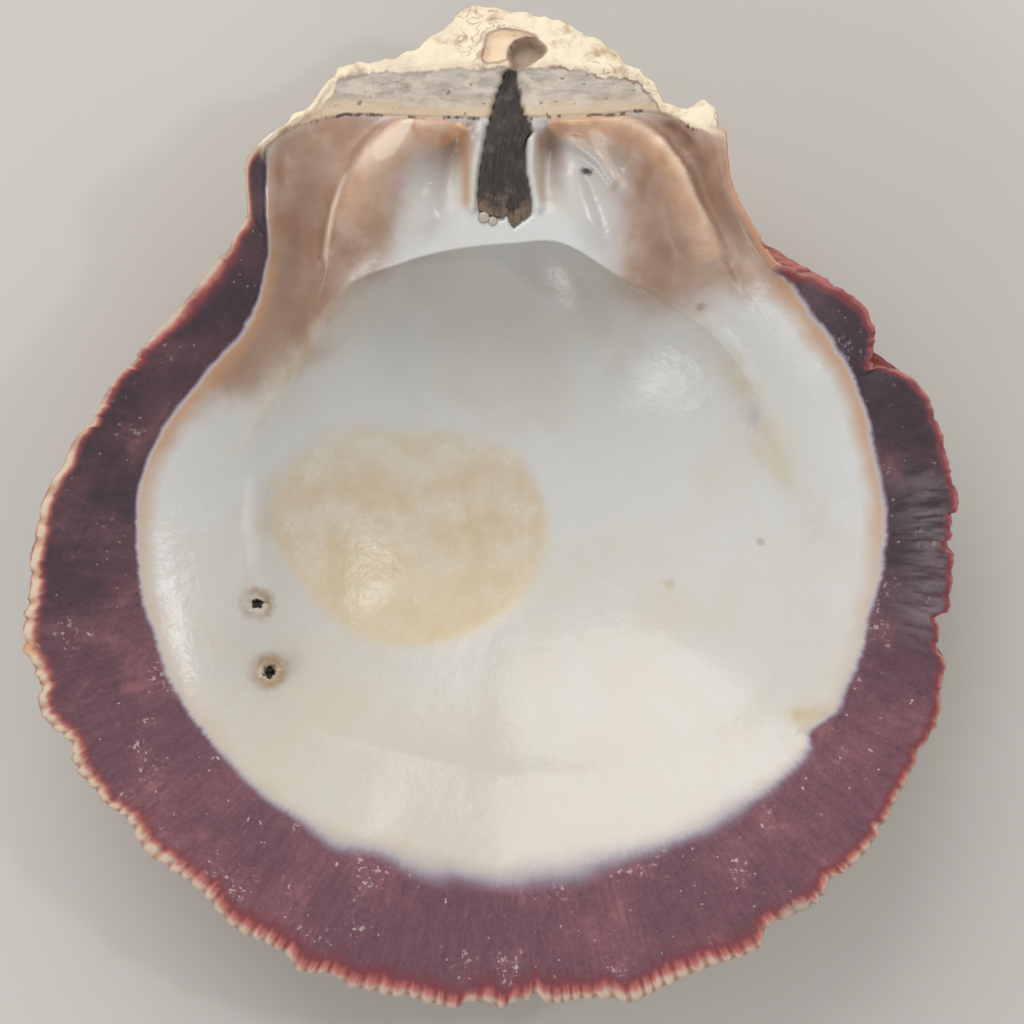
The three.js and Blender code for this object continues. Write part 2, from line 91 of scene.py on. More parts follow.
BAND_BORDER = [
    (0, 68.5), (14.5, 69), (23, 69.5), (29.5, 67), (34, 64.5), (35, 60.5), (39, 51), (44, 43.5),
    (53, 31.5), (58, 23.5), (61, 12), (62.5, 0), (61, -11), (57.5, -23), (53.5, -33), (49.5, -38.5),
    (44.5, -43), (34.5, -50.5), (25.5, -54.5), (10.5, -58), (-2, -59.5), (-12, -57.5),
    (-20.5, -54.5), (-29.5, -52.5), (-39, -47), (-47.5, -39.5), (-56, -27), (-61, -14), (-63, -1.5),
    (-61, 11), (-53.5, 23), (-44, 34.5), (-41, 44.5), (-41, 54.5), (-40.5, 63), (-35, 67), (-27, 69),
    (-13.5, 68.5),
]
BOWL_MOUTH = [
    (0, 47.5), (8.5, 47.5), (19, 41.5), (25, 39.5), (35, 33), (42.5, 22.5), (47, 11), (48.5, -1.5),
    (47, -15), (42.5, -27), (33, -34.5), (21.5, -39), (10.5, -41.5), (0, -42), (-9.5, -40),
    (-22.5, -37), (-34.5, -32), (-42, -24), (-44.5, -12.5), (-45.5, -1.5), (-44.5, 8.5),
    (-41.5, 17.5), (-35, 30), (-28, 40.5), (-18, 44.5), (-9.5, 46.5),
]


def closed_curve(corners, per_corner=12):
    """Points of a smooth closed curve through the corners."""
    start = np.array(corners, float)[:, None, :]
    before, end, after = np.roll(start, 1, 0), np.roll(start, -1, 0), np.roll(start, -2, 0)
    t = np.linspace(0, 1, per_corner, endpoint=False)[None, :, None]
    curve = start + 0.5 * t * (
        end - before
        + t * (2 * before - 5 * start + 4 * end - after)
        + t * t * (3 * start - before - 3 * end + after)
    )
    return curve.reshape(-1, 2)


def radius_by_bearing(corners):
    curve = closed_curve(corners)
    angles = np.arctan2(curve[:, 1], curve[:, 0])
    radii = np.hypot(curve[:, 0], curve[:, 1])
    return lambda bearing: np.interp(bearing, angles, radii, period=2 * math.pi)


def smooth(value, low, high):
    t = np.clip((value - low) / (high - low), 0, 1)
    return t * t * (3 - 2 * t)


def lerp(first, second, share):
    return first + (second - first) * share


def share_between(bearing, rise, full, fall, end):
    """0 outside a span of bearings in degrees, 1 inside it, with a fade at each end."""
    degrees = np.degrees(bearing) % 360
    return smooth(degrees, rise, full) * (1 - smooth(degrees, fall, end))


def around(bearing, stations):
    """A value given at some bearings in degrees, read at others."""
    degrees, values = np.array(stations, float).T
    return np.interp(np.degrees(bearing), degrees, values, period=360)


def wander(bearing, knots, seed):
    """A smooth random curve around the shell, of unit size."""
    heights = np.random.default_rng(seed).normal(size=knots)
    at = (bearing / (2 * math.pi) % 1) * knots
    low = np.floor(at).astype(int)
    return lerp(heights[low % knots], heights[(low + 1) % knots], smooth(at - low, 0, 1))


margin_radius = radius_by_bearing(MARGIN)
border_curve = radius_by_bearing(BAND_BORDER)
mouth_radius = radius_by_bearing(BOWL_MOUTH)


def border_radius(bearing):
    return np.minimum(border_curve(bearing), margin_radius(bearing) - LEAST_BAND)


def hinge_share(bearing):
    return share_between(bearing, *HINGE_SPAN)


def plate_share(bearing):
    return share_between(bearing, *PLATE_SPAN)


def back_drop(y):
    return -BACK_SLOPE * np.maximum(0, y - EAR_Y)


# Columns of the mesh run from the edge to the eye of the bowl on one side and to the beak on the
# other: even steps along the free margin from the left ear round to the right, then the hinge.
EARS = (math.radians(52), math.radians(130))
MARGIN_COLUMNS = 1600
HINGE_COLUMNS = 640

walk = np.linspace(EARS[1], EARS[0] + 2 * math.pi, 6000)
walk_x = margin_radius(walk) * np.cos(walk)
walk_y = margin_radius(walk) * np.sin(walk)
run = np.concatenate([[0], np.cumsum(np.hypot(np.diff(walk_x), np.diff(walk_y)))])
steps = np.linspace(0, run[-1], MARGIN_COLUMNS, endpoint=False)
bearings = np.concatenate([
    np.interp(steps, run, walk),
    np.linspace(EARS[0], EARS[1], HINGE_COLUMNS, endpoint=False),
])

# The back follows the margin, evened out, and shrinks towards the beak.
BEAK = np.array([-0.7, 83.0, -15.0])
TIP_BACK = 0.76  # radians from the present margin to the first one
TIP_BEND = 1.1
SMOOTHING = math.radians(14)
OVERHANG = -0.25  # the back keeps inside the edge by this

window = np.linspace(-1, 1, 9)[:, None] * SMOOTHING
even_radius = np.minimum(margin_radius(bearings + window).mean(0), margin_radius(bearings) + OVERHANG)
even = np.stack([even_radius * np.cos(bearings), even_radius * np.sin(bearings)], 1)
even = np.column_stack([even, back_drop(even[:, 1]) - EDGE_THICKNESS])


def back_ring(growth):
    """The margin as it was at a stage of growth: shrunk towards the beak and tipped about it."""
    arm = (even - BEAK) * growth
    tip = TIP_BACK * max(0, 1 - growth) ** TIP_BEND
    turn = np.array(Matrix.Rotation(tip, 3, "X"))
    return arm @ turn.T + BEAK


# Ribs run from the beak to the margin and end in lobes of uneven width along the toothed edge.
LOBE_SEED = 21
MOST_LOBES = 300
LOBE_WIDTHS = (1.5, 3.3)
LOBE_DEPTHS = (0.15, 0.6)
EDGE_WAVER = 0.07
EDGE_KNOTS = 700
CRUST_WAVER = 0.28  # the crust along the hinge is lumpier
CRUST_KNOTS = 260
CRUST_SPAN = (60, 66, 120, 126)
CHIPS = 34
CHIP_WIDTHS = (0.5, 1.6)
CHIP_DEPTHS = (0.15, 0.7)

across = np.roll(even, -1, 0) - even
rays = (even - BEAK) / np.linalg.norm(even - BEAK, axis=1)[:, None]
room = np.linalg.norm(np.cross(across, rays), axis=1)
room[MARGIN_COLUMNS:] = 0
travelled = np.concatenate([[0], np.cumsum(room)[:-1]])
lobe_rng = np.random.default_rng(LOBE_SEED)
lobe_ends = np.concatenate([[0], np.cumsum(lobe_rng.uniform(*LOBE_WIDTHS, MOST_LOBES))])
rib_count = np.interp(travelled, lobe_ends, np.arange(len(lobe_ends)))
rib_share = smooth(room / room[:MARGIN_COLUMNS].mean(), 0.25, 0.8)
lobe = rib_count % 1
lobe_swell = 1 - (2 * lobe - 1) ** 2
lobe_depth = lobe_rng.uniform(*LOBE_DEPTHS, MOST_LOBES + 1)[rib_count.astype(int)] * rib_share
edge_radius = margin_radius(bearings) + lobe_depth * (lobe_swell - 0.5)
edge_radius += EDGE_WAVER * wander(bearings, EDGE_KNOTS, seed=4)
crusted_edge = share_between(bearings, *CRUST_SPAN)
edge_radius += CRUST_WAVER * wander(bearings, CRUST_KNOTS, seed=5) * crusted_edge
for spot, chip_width, chip_depth in zip(
    lobe_rng.uniform(0, run[-1], CHIPS),
    lobe_rng.uniform(*CHIP_WIDTHS, CHIPS),
    lobe_rng.uniform(*CHIP_DEPTHS, CHIPS),
):
    off = np.abs(steps - spot)
    edge_radius[:MARGIN_COLUMNS] -= chip_depth * (1 - smooth(off, 0.7 * chip_width, chip_width))

# Ridges and grooves of the hinge plate: path in plan, width to its left and right, height at its
# two ends. The tallest ridge counts; grooves are cut into it.
RIDGES = [
    ([(-16.8, 67.6), (-20.5, 66.2), (-23.8, 63.4), (-26.5, 59.4), (-28.5, 55), (-30, 50.3), (-31, 46)],
     7.5, 1.6, 5.4, 1.4),  # left tooth
    ([(-16.8, 67.4), (-12.6, 66.8), (-8.6, 66.6)], 1.2, 3.4, 5.0, 3.2),  # its head
    ([(-23.2, 59.6), (-24.3, 53), (-26, 46.3)], 5.0, 5.0, 2.8, 1.0),  # its body
    ([(7.3, 67.6), (13.7, 68), (18.2, 67.6)], 1.2, 2.4, 3.2, 4.2),  # head of the right tooth
    ([(18.2, 67.6), (21.8, 66.4), (25.2, 63.6), (28.3, 59.4), (29.8, 55), (32.1, 51.1), (34.8, 46)],
     1.5, 7.5, 5.0, 1.8),  # right tooth
    ([(22.8, 60.4), (25.2, 54.6), (25.2, 47.2)], 5.0, 5.0, 2.6, 0.9),  # its body
    ([(6.6, 66), (10.6, 64.2), (14.6, 61.2), (16.9, 58.3)], 1.3, 1.3, 2.4, 1.2),  # its inner wall
    ([(9.6, 58.3), (11.3, 53.3), (13.2, 48.3)], 2.6, 2.2, 1.2, 0.8),
    ([(-13.5, 55), (-15, 50.5), (-17, 46)], 2.2, 2.2, 0.7, 0.5),
    ([(-5.3, 66.5), (-6.3, 60), (-6.7, 53.6)], 0.8, 0.9, 1.4, 1.1),  # left of the ligament
    ([(3.4, 65), (3.4, 60), (4.4, 53.6)], 0.9, 0.8, 1.4, 1.1),  # right of the ligament
    ([(-39.7, 62.9), (-40.1, 54.6), (-40.4, 46.3)], 1.4, 1.4, 0.7, 0.3),  # left ear
    ([(33.1, 69.2), (35.2, 62.9), (36.6, 55.8), (39.8, 50.5), (44, 43.9)], 1.5, 1.8, 0.9, 0.4),  # right ear
]
RIDGE_FOOT = 3.5
RIDGE_SLOPE = 0.4
RIDGE_BLEND = 5.0  # how sharply one ridge gives way to the next
GROOVES = [
    ([(-37.9, 62.6), (-35.3, 56.6), (-35.1, 50), (-37.4, 42), (-41.4, 35.1)], 4.0, 4.0, 1.5, 1.0),
    ([(-9.4, 65.3), (-10.3, 61.2), (-10.9, 55.9)], 2.4, 2.6, 4.4, 1.0),  # left socket
    ([(6.5, 65.2), (6, 60.7), (5.5, 55.4)], 2.2, 2.0, 4.4, 1.0),  # right socket
    ([(26.5, 66.5), (30.8, 60.4), (33.2, 55), (35.3, 50), (37.4, 45.4)], 2.2, 1.8, 1.9, 1.0),  # right ear
]


def path_distance(x, y, path):
    """Distance from plan points to a path, the share of its length there, and if it's to its left."""
    path = np.array(path, float)
    lengths = np.linalg.norm(np.diff(path, axis=0), axis=1)
    begun = np.concatenate([[0], np.cumsum(lengths)])
    nearest = np.full(np.shape(x), np.inf)
    share = np.zeros(np.shape(x))
    left = np.zeros(np.shape(x), bool)
    for start, end, length, before in zip(path, path[1:], lengths, begun):
        way = (end - start) / length
        along = (x - start[0]) * way[0] + (y - start[1]) * way[1]
        side = way[0] * (y - start[1]) - way[1] * (x - start[0])
        reach = np.clip(along, 0, length)
        distance = np.hypot(x - start[0] - reach * way[0], y - start[1] - reach * way[1])
        closer = distance < nearest
        share = np.where(closer, (before + reach) / begun[-1], share)
        left = np.where(closer, side > 0, left)
        nearest = np.where(closer, distance, nearest)
    return nearest, share, left


def swell(x, y, path, width_left, width_right, first, last, foot=2.0, slope=0.0):
    """A ridge along a path, from its first height to its last, with a soft or an abrupt foot."""
    distance, share, left = path_distance(x, y, path)
    off = distance / np.where(left, width_left, width_right)
    return lerp(first, last, share) * np.exp(-(off ** foot)) * (1 - slope * np.minimum(off, 1) ** 2)


def streak(x, y, path, *sizes):
    """A swell that fades out towards both ends of its path."""
    share = path_distance(x, y, path)[1]
    return swell(x, y, path, *sizes) * np.sqrt(np.sin(math.pi * np.clip(share, 0, 1)))


def open_curve(corners, per_corner=5):
    """Points of a smooth curve from the first corner to the last."""
    corners = np.array(corners, float)
    extended = np.vstack([2 * corners[0] - corners[1], corners, 2 * corners[-1] - corners[-2]])
    return closed_curve(extended, per_corner)[per_corner:-2 * per_corner + 1]


ridge_curves = [(open_curve(path), *sizes) for path, *sizes in RIDGES]
groove_curves = [(open_curve(path), *sizes) for path, *sizes in GROOVES]


def hinge_relief(x, y):
    heights = [swell(x, y, *ridge, RIDGE_FOOT, RIDGE_SLOPE) for ridge in ridge_curves]
    ridges = np.sum(np.power(heights, RIDGE_BLEND), axis=0) ** (1 / RIDGE_BLEND)
    return ridges - np.sum([swell(x, y, *groove) for groove in groove_curves], axis=0)


# The ligament's groove: distance to the hinge, left and right edge, top of the ligament.
LIGAMENT = np.array([
    (50, -5.5, 3.2, -4.1), (53.3, -5.5, 3.2, -3.5), (55.5, -5.5, 2.9, -3.1), (59.6, -5.1, 1.9, -2.7),
    (63.5, -4.3, 1.8, -2.6), (65, -4.1, 2.2, -2.6), (66.3, -3.9, 3.2, -2.7), (67.3, -3.7, 2.8, -2.9),
    (68.8, -3.3, 1.8, -3.2), (72.1, -2.5, 1.1, -4.9), (75.4, -1.3, 0.6, -6.7), (77, -0.9, 0.4, -7.5),
])
LIGAMENT_THICKNESS = 2.4
END_THICKNESS = 0.5  # at its frayed lower end
FRAYED_END = np.array([
    (0, 53.2), (0.12, 52.6), (0.25, 52.2), (0.36, 52.0), (0.47, 51.9), (0.53, 52.6), (0.6, 51.0),
    (0.66, 50.3), (0.74, 50.9), (0.82, 51.5), (0.92, 51.9), (1, 52.9),
])  # share of the width, distance to the hinge
GAP = 0.12
GROOVE_EDGE = 0.35


def ligament_top(y):
    return np.interp(y, LIGAMENT[:, 0], LIGAMENT[:, 3])


def ligament_thickness(y):
    return lerp(END_THICKNESS, LIGAMENT_THICKNESS, smooth(y, 51, 58))


def groove_floor(x, y, z):
    """Lowers a height to the floor of the ligament's groove where a point lies in the groove."""
    left = np.interp(y, LIGAMENT[:, 0], LIGAMENT[:, 1]) - GAP
    right = np.interp(y, LIGAMENT[:, 0], LIGAMENT[:, 2]) + GAP
    floor = ligament_top(y) - ligament_thickness(y) - GAP
    end = np.interp((x - left) / (right - left), FRAYED_END[:, 0], FRAYED_END[:, 1])
    lengthwise = np.minimum(y - end + GAP, LIGAMENT[-1, 0] + GAP - y)
    inside = np.minimum(np.minimum(x - left, right - x), lengthwise)
    return lerp(z, np.minimum(z, floor), smooth(inside, -GROOVE_EDGE, 0))


# The muscle scar is a shallow step in the floor, with creases beside it and around the bowl.
SCAR = [
    (-42, 4), (-38.5, 12), (-31, 17.5), (-20.5, 18.5), (-9, 17.5), (0.5, 14.5), (5.5, 8), (6.6, 1),
    (4.5, -7), (-1, -14.5), (-8.5, -19.5), (-17, -21), (-26.5, -18.5), (-34.5, -12.5), (-40, -4.5),
]
SCAR_STEP = 0.35
CREASES = [
    ([(-27.7, 60.3), (-29.8, 54.6), (-30.9, 47)], 0.6, 0.6, 0.9, 0.6),
    ([(-43.6, 9), (-44, 0), (-42.6, -7), (-40, -12.5)], 0.9, 0.9, 1.1, 0.6),
    ([(-18, 43.5), (-30, 36.5), (-36, 28), (-43, 17.5), (-46, 9.5)], 2.6, 1.5, 1.2, 0.5),
    ([(-35, -33), (-22, -37), (-9.5, -40), (0, -42), (11.5, -40.5)], 1.8, 1.2, 0.5, 0.3),
    ([(30, 38), (37, 31), (42, 22), (45, 12)], 1.6, 2.4, 0.4, 0.3),
    ([(50.5, -35), (47.5, -33.5)], 1.0, 1.0, -0.9, -0.5),
]


def depth_inside(x, y, corners):
    """Distance inside a closed outline, negative outside it."""
    curve = closed_curve(corners, 4)
    distance = path_distance(x, y, np.vstack([curve, curve[:1]]))[0]
    inside = np.zeros(np.shape(x), bool)
    for (x0, y0), (x1, y1) in zip(curve, np.roll(curve, -1, 0)):
        if y0 != y1:
            inside ^= ((y0 > y) != (y1 > y)) & (x < (x1 - x0) * (y - y0) / (y1 - y0) + x0)
    return np.where(inside, distance, -distance)


# Two hollows side by side under the beak, and two holes left by borers.
BEAK_HOLLOWS = [
    ([(-0.55, 80.7), (0.3, 82.2), (1.8, 82.9), (3.5, 82.8), (5.5, 81.1), (4.9, 79.5), (3, 78),
      (1.1, 77.1), (0, 77.8), (-0.7, 79.3)], 3.4),
    ([(-5, 79.3), (-4.75, 81.6), (-4.3, 83.2), (-3.1, 84.2), (-0.75, 84.4), (1.8, 84.2), (4.1, 83),
      (1.8, 82.9), (0.3, 82.2), (-0.5, 80.7), (-0.7, 79), (-1.6, 78.6), (-3.3, 78.4), (-4.4, 78.6)], 1.5),
]  # outline, depth
BORED = [((-43.2, -12.5), 0.95, 2.5), ((-41.2, -24.0), 0.95, 2.5)]  # place, half width, depth


def hollow_drop(x, y):
    drop = np.zeros(np.shape(x))
    for (cx, cy), half, depth in BORED:
        drop = np.maximum(drop, depth * (1 - smooth(np.hypot(x - cx, y - cy) / half, 0.6, 1.05)))
    for outline, depth in BEAK_HOLLOWS:
        drop = np.maximum(drop, depth * smooth(depth_inside(x, y, outline), -0.3, 1.0))
    return drop


def lining_relief(x, y):
    creases = np.sum([streak(x, y, *crease) for crease in CREASES], axis=0)
    return creases - SCAR_STEP * smooth(depth_inside(x, y, SCAR), -1.2, 1.2)


# The mesh, ring by ring. Each ring keeps the values that its colours are made from.
points = []
fields = {name: [] for name in ("edge", "band", "rib", "ribs", "growth", "back")}
faces = []


def join(ring, inner):
    """Joins a ring to the next one, which has as many points or half as many."""
    if len(ring) == len(inner):
        faces.extend(np.stack([ring, np.roll(ring, -1), np.roll(inner, -1), inner], 1).tolist())
        return
    first, middle, last = ring[0::2], ring[1::2], np.roll(ring[0::2], -1)
    inner_last = np.roll(inner, -1)
    for corners in ((first, middle, inner), (middle, inner_last, inner), (middle, last, inner_last)):
        faces.extend(np.stack(corners, 1).tolist())


def add_ring(previous, xyz, **values):
    """Adds a ring of points with its values, joined to the ring before it if there is one."""
    first = sum(len(p) for p in points)
    points.append(xyz)
    for name in fields:
        fields[name].append(np.broadcast_to(values.get(name, 0.0), len(xyz)).astype(float))
    ring = np.arange(first, first + len(xyz))
    if previous is not None:
        join(previous, ring)
    return ring


def polar(bearing, radius, height):
    return np.column_stack([radius * np.cos(bearing), radius * np.sin(bearing), height])


FRINGE_RINGS = [
    (0.25, 0.05, 1), (0.6, 0.1, 1), (1.1, 0.16, 2), (1.9, 0.22, 1), (3.0, 0.3, 1),
]  # distance from the edge, or share of the band if that is less, thinning of the columns
BAND_RINGS = 24
SHELF_RINGS = 44
WALL_RINGS = [(0.02, 1), (0.045, 1), (0.075, 1), (0.11, 1), (0.15, 1), (0.19, 1), (0.24, 1), (0.29, 1),
              (0.34, 2), (0.39, 1), (0.44, 1), (0.5, 1), (0.56, 1), (0.62, 1), (0.68, 2), (0.74, 1),
              (0.8, 1), (0.86, 1), (0.91, 2), (0.95, 1), (0.98, 1)]  # share of the way, thinning
WALL_CURVE = 2.3
UNDERCUT = 0.34
UNDERCUT_SHIFT = 0.75
FLUTE_DEPTH = 0.5
FLUTE_MIDDLE = 0.7
FLUTE_REACH = 2.5
CRUST_RIM = 1.5  # width of the crust along the outer edge of the hinge
BOWL_EDGE = 60.0  # distance to the edge that the whole bowl is given
BOWL_BAND = -5.0  # and the least it lies inside the band's border


def crust_reach(x, y, distance):
    """How far a point behind the hinge lies inside the crust, at a distance from the edge."""
    fall = np.where(x < 0, CRUST_FALL[0], CRUST_FALL[1])
    return np.maximum(np.maximum(y - CRUST_TOP + fall * x ** 2, CRUST_RIM - distance), x - CRUST_EAR)


def outer_height(bearing, radius, distance, width):
    """Height between the edge and the inner border of the band, or the hinge line."""
    x, y = radius * np.cos(bearing), radius * np.sin(bearing)
    hinge = hinge_share(bearing)
    fall = lerp(BAND_DEPTH, HINGE_LINE_DEPTH, hinge) * (distance / width) ** 1.5
    crust = CRUST_STEP * smooth(crust_reach(x, y, distance), -0.2, 1.2) * hinge
    return back_drop(y) - fall + crust - hollow_drop(x, y)


def rim_rounding(distance):
    """How far the rounded edge falls below the flat of the margin."""
    off = np.clip(1 - distance / (0.35 * EDGE_THICKNESS), 0, 1)
    return -0.5 * EDGE_THICKNESS * (1 - np.sqrt(1 - off ** 2))


width = edge_radius - border_radius(bearings)
flutes = FLUTE_DEPTH * rib_share * (lobe_swell - FLUTE_MIDDLE)
edge_height = outer_height(bearings, edge_radius, 0, width) - EDGE_THICKNESS / 2
edge_ring = add_ring(
    None, polar(bearings, edge_radius, edge_height),
    edge=0, band=width, rib=rib_count, ribs=rib_share, growth=1, back=0.5,
)
previous = edge_ring
kept = np.arange(len(bearings))
for reach, share, thinning in FRINGE_RINGS:
    kept = kept[::thinning]
    distance = np.minimum(reach, share * width[kept])
    radius = edge_radius[kept] - distance
    height = outer_height(bearings[kept], radius, distance, width[kept]) + rim_rounding(distance)
    height += flutes[kept] * np.exp(-distance / FLUTE_REACH)
    previous = add_ring(
        previous, polar(bearings[kept], radius, height),
        edge=distance, band=width[kept] - distance, rib=rib_count[kept], ribs=rib_share[kept], growth=1,
    )

kept = kept[::2]
half = bearings[kept]
half_width = width[kept]
border = border_radius(half)
begun = np.minimum(FRINGE_RINGS[-1][0], FRINGE_RINGS[-1][1] * half_width)
for i in range(1, BAND_RINGS + 1):
    distance = lerp(begun, half_width, i / BAND_RINGS)
    radius = edge_radius[kept] - distance
    x, y = radius * np.cos(half), radius * np.sin(half)
    height = outer_height(half, radius, distance, half_width)
    height += flutes[kept] * np.exp(-distance / FLUTE_REACH)
    height = groove_floor(x, y, height)
    previous = add_ring(
        previous, polar(half, radius, height),
        edge=distance, band=radius - border, rib=rib_count[kept], ribs=rib_share[kept], growth=1,
    )

half_ribs = rib_count[kept]
mouth = mouth_radius(half)
hinge = hinge_share(half)
plate = plate_share(half)
border_height = outer_height(half, border, half_width, half_width)
mouth_depth = lerp(SHELF_DEPTH, PLATE_LIP_DEPTH, plate)
for i in range(1, SHELF_RINGS + 1):
    share = i / SHELF_RINGS
    radius = lerp(border, mouth, share)
    x, y = radius * np.cos(half), radius * np.sin(half)
    height = lerp(border_height, -mouth_depth, share ** lerp(SHELF_BEND, 1, hinge))
    height += hinge_relief(x, y) * (1 - smooth(share, 0.75, 1)) * smooth(share, 0, 0.06) * hinge
    height = groove_floor(x, y, height) + lining_relief(x, y) * smooth(share, 0, 0.1) - hollow_drop(x, y)
    previous = add_ring(
        previous, polar(half, radius, height),
        edge=half_width + border - radius, band=radius - border, rib=half_ribs, growth=1,
    )

kept = np.arange(len(half))
for share, thinning in WALL_RINGS:
    kept = kept[::thinning]
    undercut = UNDERCUT * plate[kept] * math.sin(math.pi * share ** UNDERCUT_SHIFT)
    radius = mouth[kept] * (1 - share + undercut)
    x, y = radius * np.cos(half[kept]), radius * np.sin(half[kept])
    height = -lerp(mouth_depth[kept], BOWL_DEPTH, 1 - (1 - share) ** WALL_CURVE)
    height += lining_relief(x, y) * (1 - plate[kept] * (1 - smooth(share, 0.2, 0.4))) - hollow_drop(x, y)
    previous = add_ring(
        previous, polar(half[kept], radius, height),
        edge=BOWL_EDGE, band=np.minimum(radius - border[kept], BOWL_BAND), rib=half_ribs[kept], growth=1,
    )
middle = np.array([[0.0, 0.0, points[-1][:, 2].mean()]])
eye = add_ring(None, middle, edge=BOWL_EDGE, band=-BOWL_EDGE, growth=1)[0]
faces.extend([a, b, eye] for a, b in zip(previous.tolist(), np.roll(previous, -1).tolist()))

# The back, from the edge to the beak.
BACK_RINGS = [(0.992, 2), (0.984, 1), (0.974, 1), (0.962, 1), (0.948, 1), (0.933, 1), (0.917, 1), (0.9, 1),
              (0.883, 1), (0.866, 1), (0.848, 1), (0.83, 1), (0.81, 1), (0.79, 1), (0.77, 1), (0.745, 1),
              (0.72, 1), (0.69, 1), (0.66, 1), (0.62, 2), (0.58, 1), (0.54, 1), (0.5, 1), (0.46, 1),
              (0.42, 1), (0.38, 1), (0.34, 1), (0.3, 2), (0.26, 1), (0.22, 1), (0.18, 1), (0.14, 1),
              (0.1, 2), (0.06, 1), (0.03, 1)]  # stage of growth, thinning of the columns
SHELL_LENGTH = 160.0  # from the beak to the margin
BACK_BAND = 20.0  # distance past the band's border that the whole back is given

kept = np.arange(len(bearings))
previous = edge_ring
back_rings = {}
for growth, thinning in BACK_RINGS:
    kept = kept[::thinning]
    before = len(faces)
    previous = add_ring(
        previous, back_ring(growth)[kept],
        edge=(1 - growth) * SHELL_LENGTH, band=BACK_BAND, rib=rib_count[kept], ribs=rib_share[kept],
        growth=growth, back=1,
    )
    faces[before:] = [face[::-1] for face in faces[before:]]
    back_rings[growth] = (previous, kept)
beak = add_ring(None, BEAK[None, :], edge=SHELL_LENGTH, band=BACK_BAND, growth=0, back=1)[0]
faces.extend([b, a, beak] for a, b in zip(previous.tolist(), np.roll(previous, -1).tolist()))

points = np.concatenate(points)
fields = {name: np.concatenate(values) for name, values in fields.items()}

# Where the colours lie, in plan: callus on either side of the hinge, staining in its valleys and painted
# shade in its sockets, painted highlights on its teeth, the widths and paleness of the fringe, and how
# gently the lining thins out over the band.
CALLUS = [
    [(-40.5, 62.7), (-37.7, 66.5), (-32.7, 68.9), (-27.7, 69.2), (-18.6, 68.2), (-7.8, 67.3), (-8.3, 65.3),
     (-12, 64.5), (-16, 62.8), (-18.5, 58.7), (-19.8, 53.7), (-21, 48.7), (-23.8, 44.2), (-27.6, 40.4),
     (-30.9, 36.2), (-33.7, 32), (-38.4, 28.7), (-42.5, 25.8), (-47.4, 23.8), (-52.1, 21), (-54, 22.1),
     (-50.8, 26.2), (-47, 30.4), (-44, 34.2), (-42, 38.7), (-41.4, 43.1), (-41.2, 47.7), (-40.8, 56)],
    [(9, 69), (21.3, 69.5), (27, 70), (32, 71), (34.8, 66.2), (36.5, 60.4), (37.5, 56.3), (40, 51.3),
     (43, 46.7), (45.5, 42.1), (41.2, 41), (35.5, 40.7), (29.7, 39.5), (25.3, 39.2), (21.3, 40.5),
     (18.6, 43), (19.2, 48), (19.9, 53), (18.8, 58.5), (15.5, 63), (12, 66)],
]
STAINS_AND_SOCKET_SHADE = [
    ([(-33.5, 57), (-34.8, 49.8), (-37, 42.5), (-41, 35), (-47, 28)], 4.0, 4.0, 0.8, 0.6),
    ([(-33, 62), (-34, 57)], 3.0, 3.0, 0.5, 0.7),
    # painted shade in the left socket, under the head of the tooth
    ([(-9.6, 64.4), (-10.8, 60.5), (-12, 57)], 1.9, 2.4, 1.0, 0.4),
    ([(-12.5, 61), (-14.5, 52)], 4.5, 5.0, 0.5, 0.25),
    # painted shade in the right socket
    ([(6.4, 66), (7.2, 61), (6.6, 56)], 2.4, 1.7, 1.1, 0.4),
    ([(12, 63), (15, 56), (15.5, 50)], 4.5, 4.0, 0.35, 0.2),
    ([(23.8, 60), (26, 53), (26.2, 46)], 5.0, 5.0, 0.8, 0.7),
    ([(31, 60), (35.5, 52), (39, 46.5)], 1.6, 1.6, 0.7, 0.7),
    ([(-43.2, -12.5), (-43.2, -12)], 1.8, 1.8, 0.6, 0.6),
    ([(-41.2, -24), (-38.8, -23)], 2.4, 2.4, 0.9, 0.5),
]
TEETH = [
    [(-17.2, 68.2), (-8.1, 67.7), (-7.7, 66.8), (-9.9, 64.9), (-14.7, 61.6), (-17.9, 58.9), (-20, 53.6),
     (-21, 48), (-29.5, 46), (-30.2, 50), (-28.6, 54.6), (-26.7, 58.6), (-23.8, 62.9), (-20.5, 66.2)],
    [(6.2, 68), (13.7, 68.8), (18.2, 68.7), (21.3, 67.2), (25.1, 64.2), (28.3, 59.6), (29.8, 54.9),
     (32.1, 51.1), (34.7, 46), (30, 44), (24, 44), (19.5, 46), (19.8, 52.3), (18.8, 57.6), (14.5, 61.4),
     (8.6, 64.6)],
]
TOOTH_TOPS = [
    ([(-8, 67), (-16.8, 67.6), (-20.5, 66.2), (-23.8, 63.4), (-26.5, 59.4), (-28, 56)], 4.4, 2.0, 1.0, 0.6),
    ([(7, 68), (18.2, 68), (21.8, 66.6), (25.2, 63.8), (28.3, 59.6), (29.9, 55), (32.1, 51), (34.8, 46)],
     2.0, 3.6, 0.9, 0.6),
]
# Painted highlights along ridge crests: on the teeth, along the left tooth's outer edge and on a fold beside
# the scar.
CREST_HIGHLIGHTS = [
    ([(-17, 67.2), (-20.3, 65.4), (-23.8, 62.5), (-26.3, 58.6)], 3.0, 0.7, 1.0, 0.7),
    ([(-16, 67), (-9.5, 66.8)], 0.5, 1.0, 0.8, 0.6),
    ([(-27.6, 59), (-29.6, 53.5), (-30.9, 48), (-31.4, 44)], 0.4, 0.4, 0.8, 0.6),
    ([(-43.6, 8), (-44, 0), (-42.6, -7)], 0.6, 0.6, 0.3, 0.4),
    ([(14, 67.6), (19.5, 67.4), (22.6, 65.8), (25.7, 62.9), (28.7, 58.7), (31, 53.2), (34, 47.5)],
     0.5, 1.0, 0.7, 0.4),
]
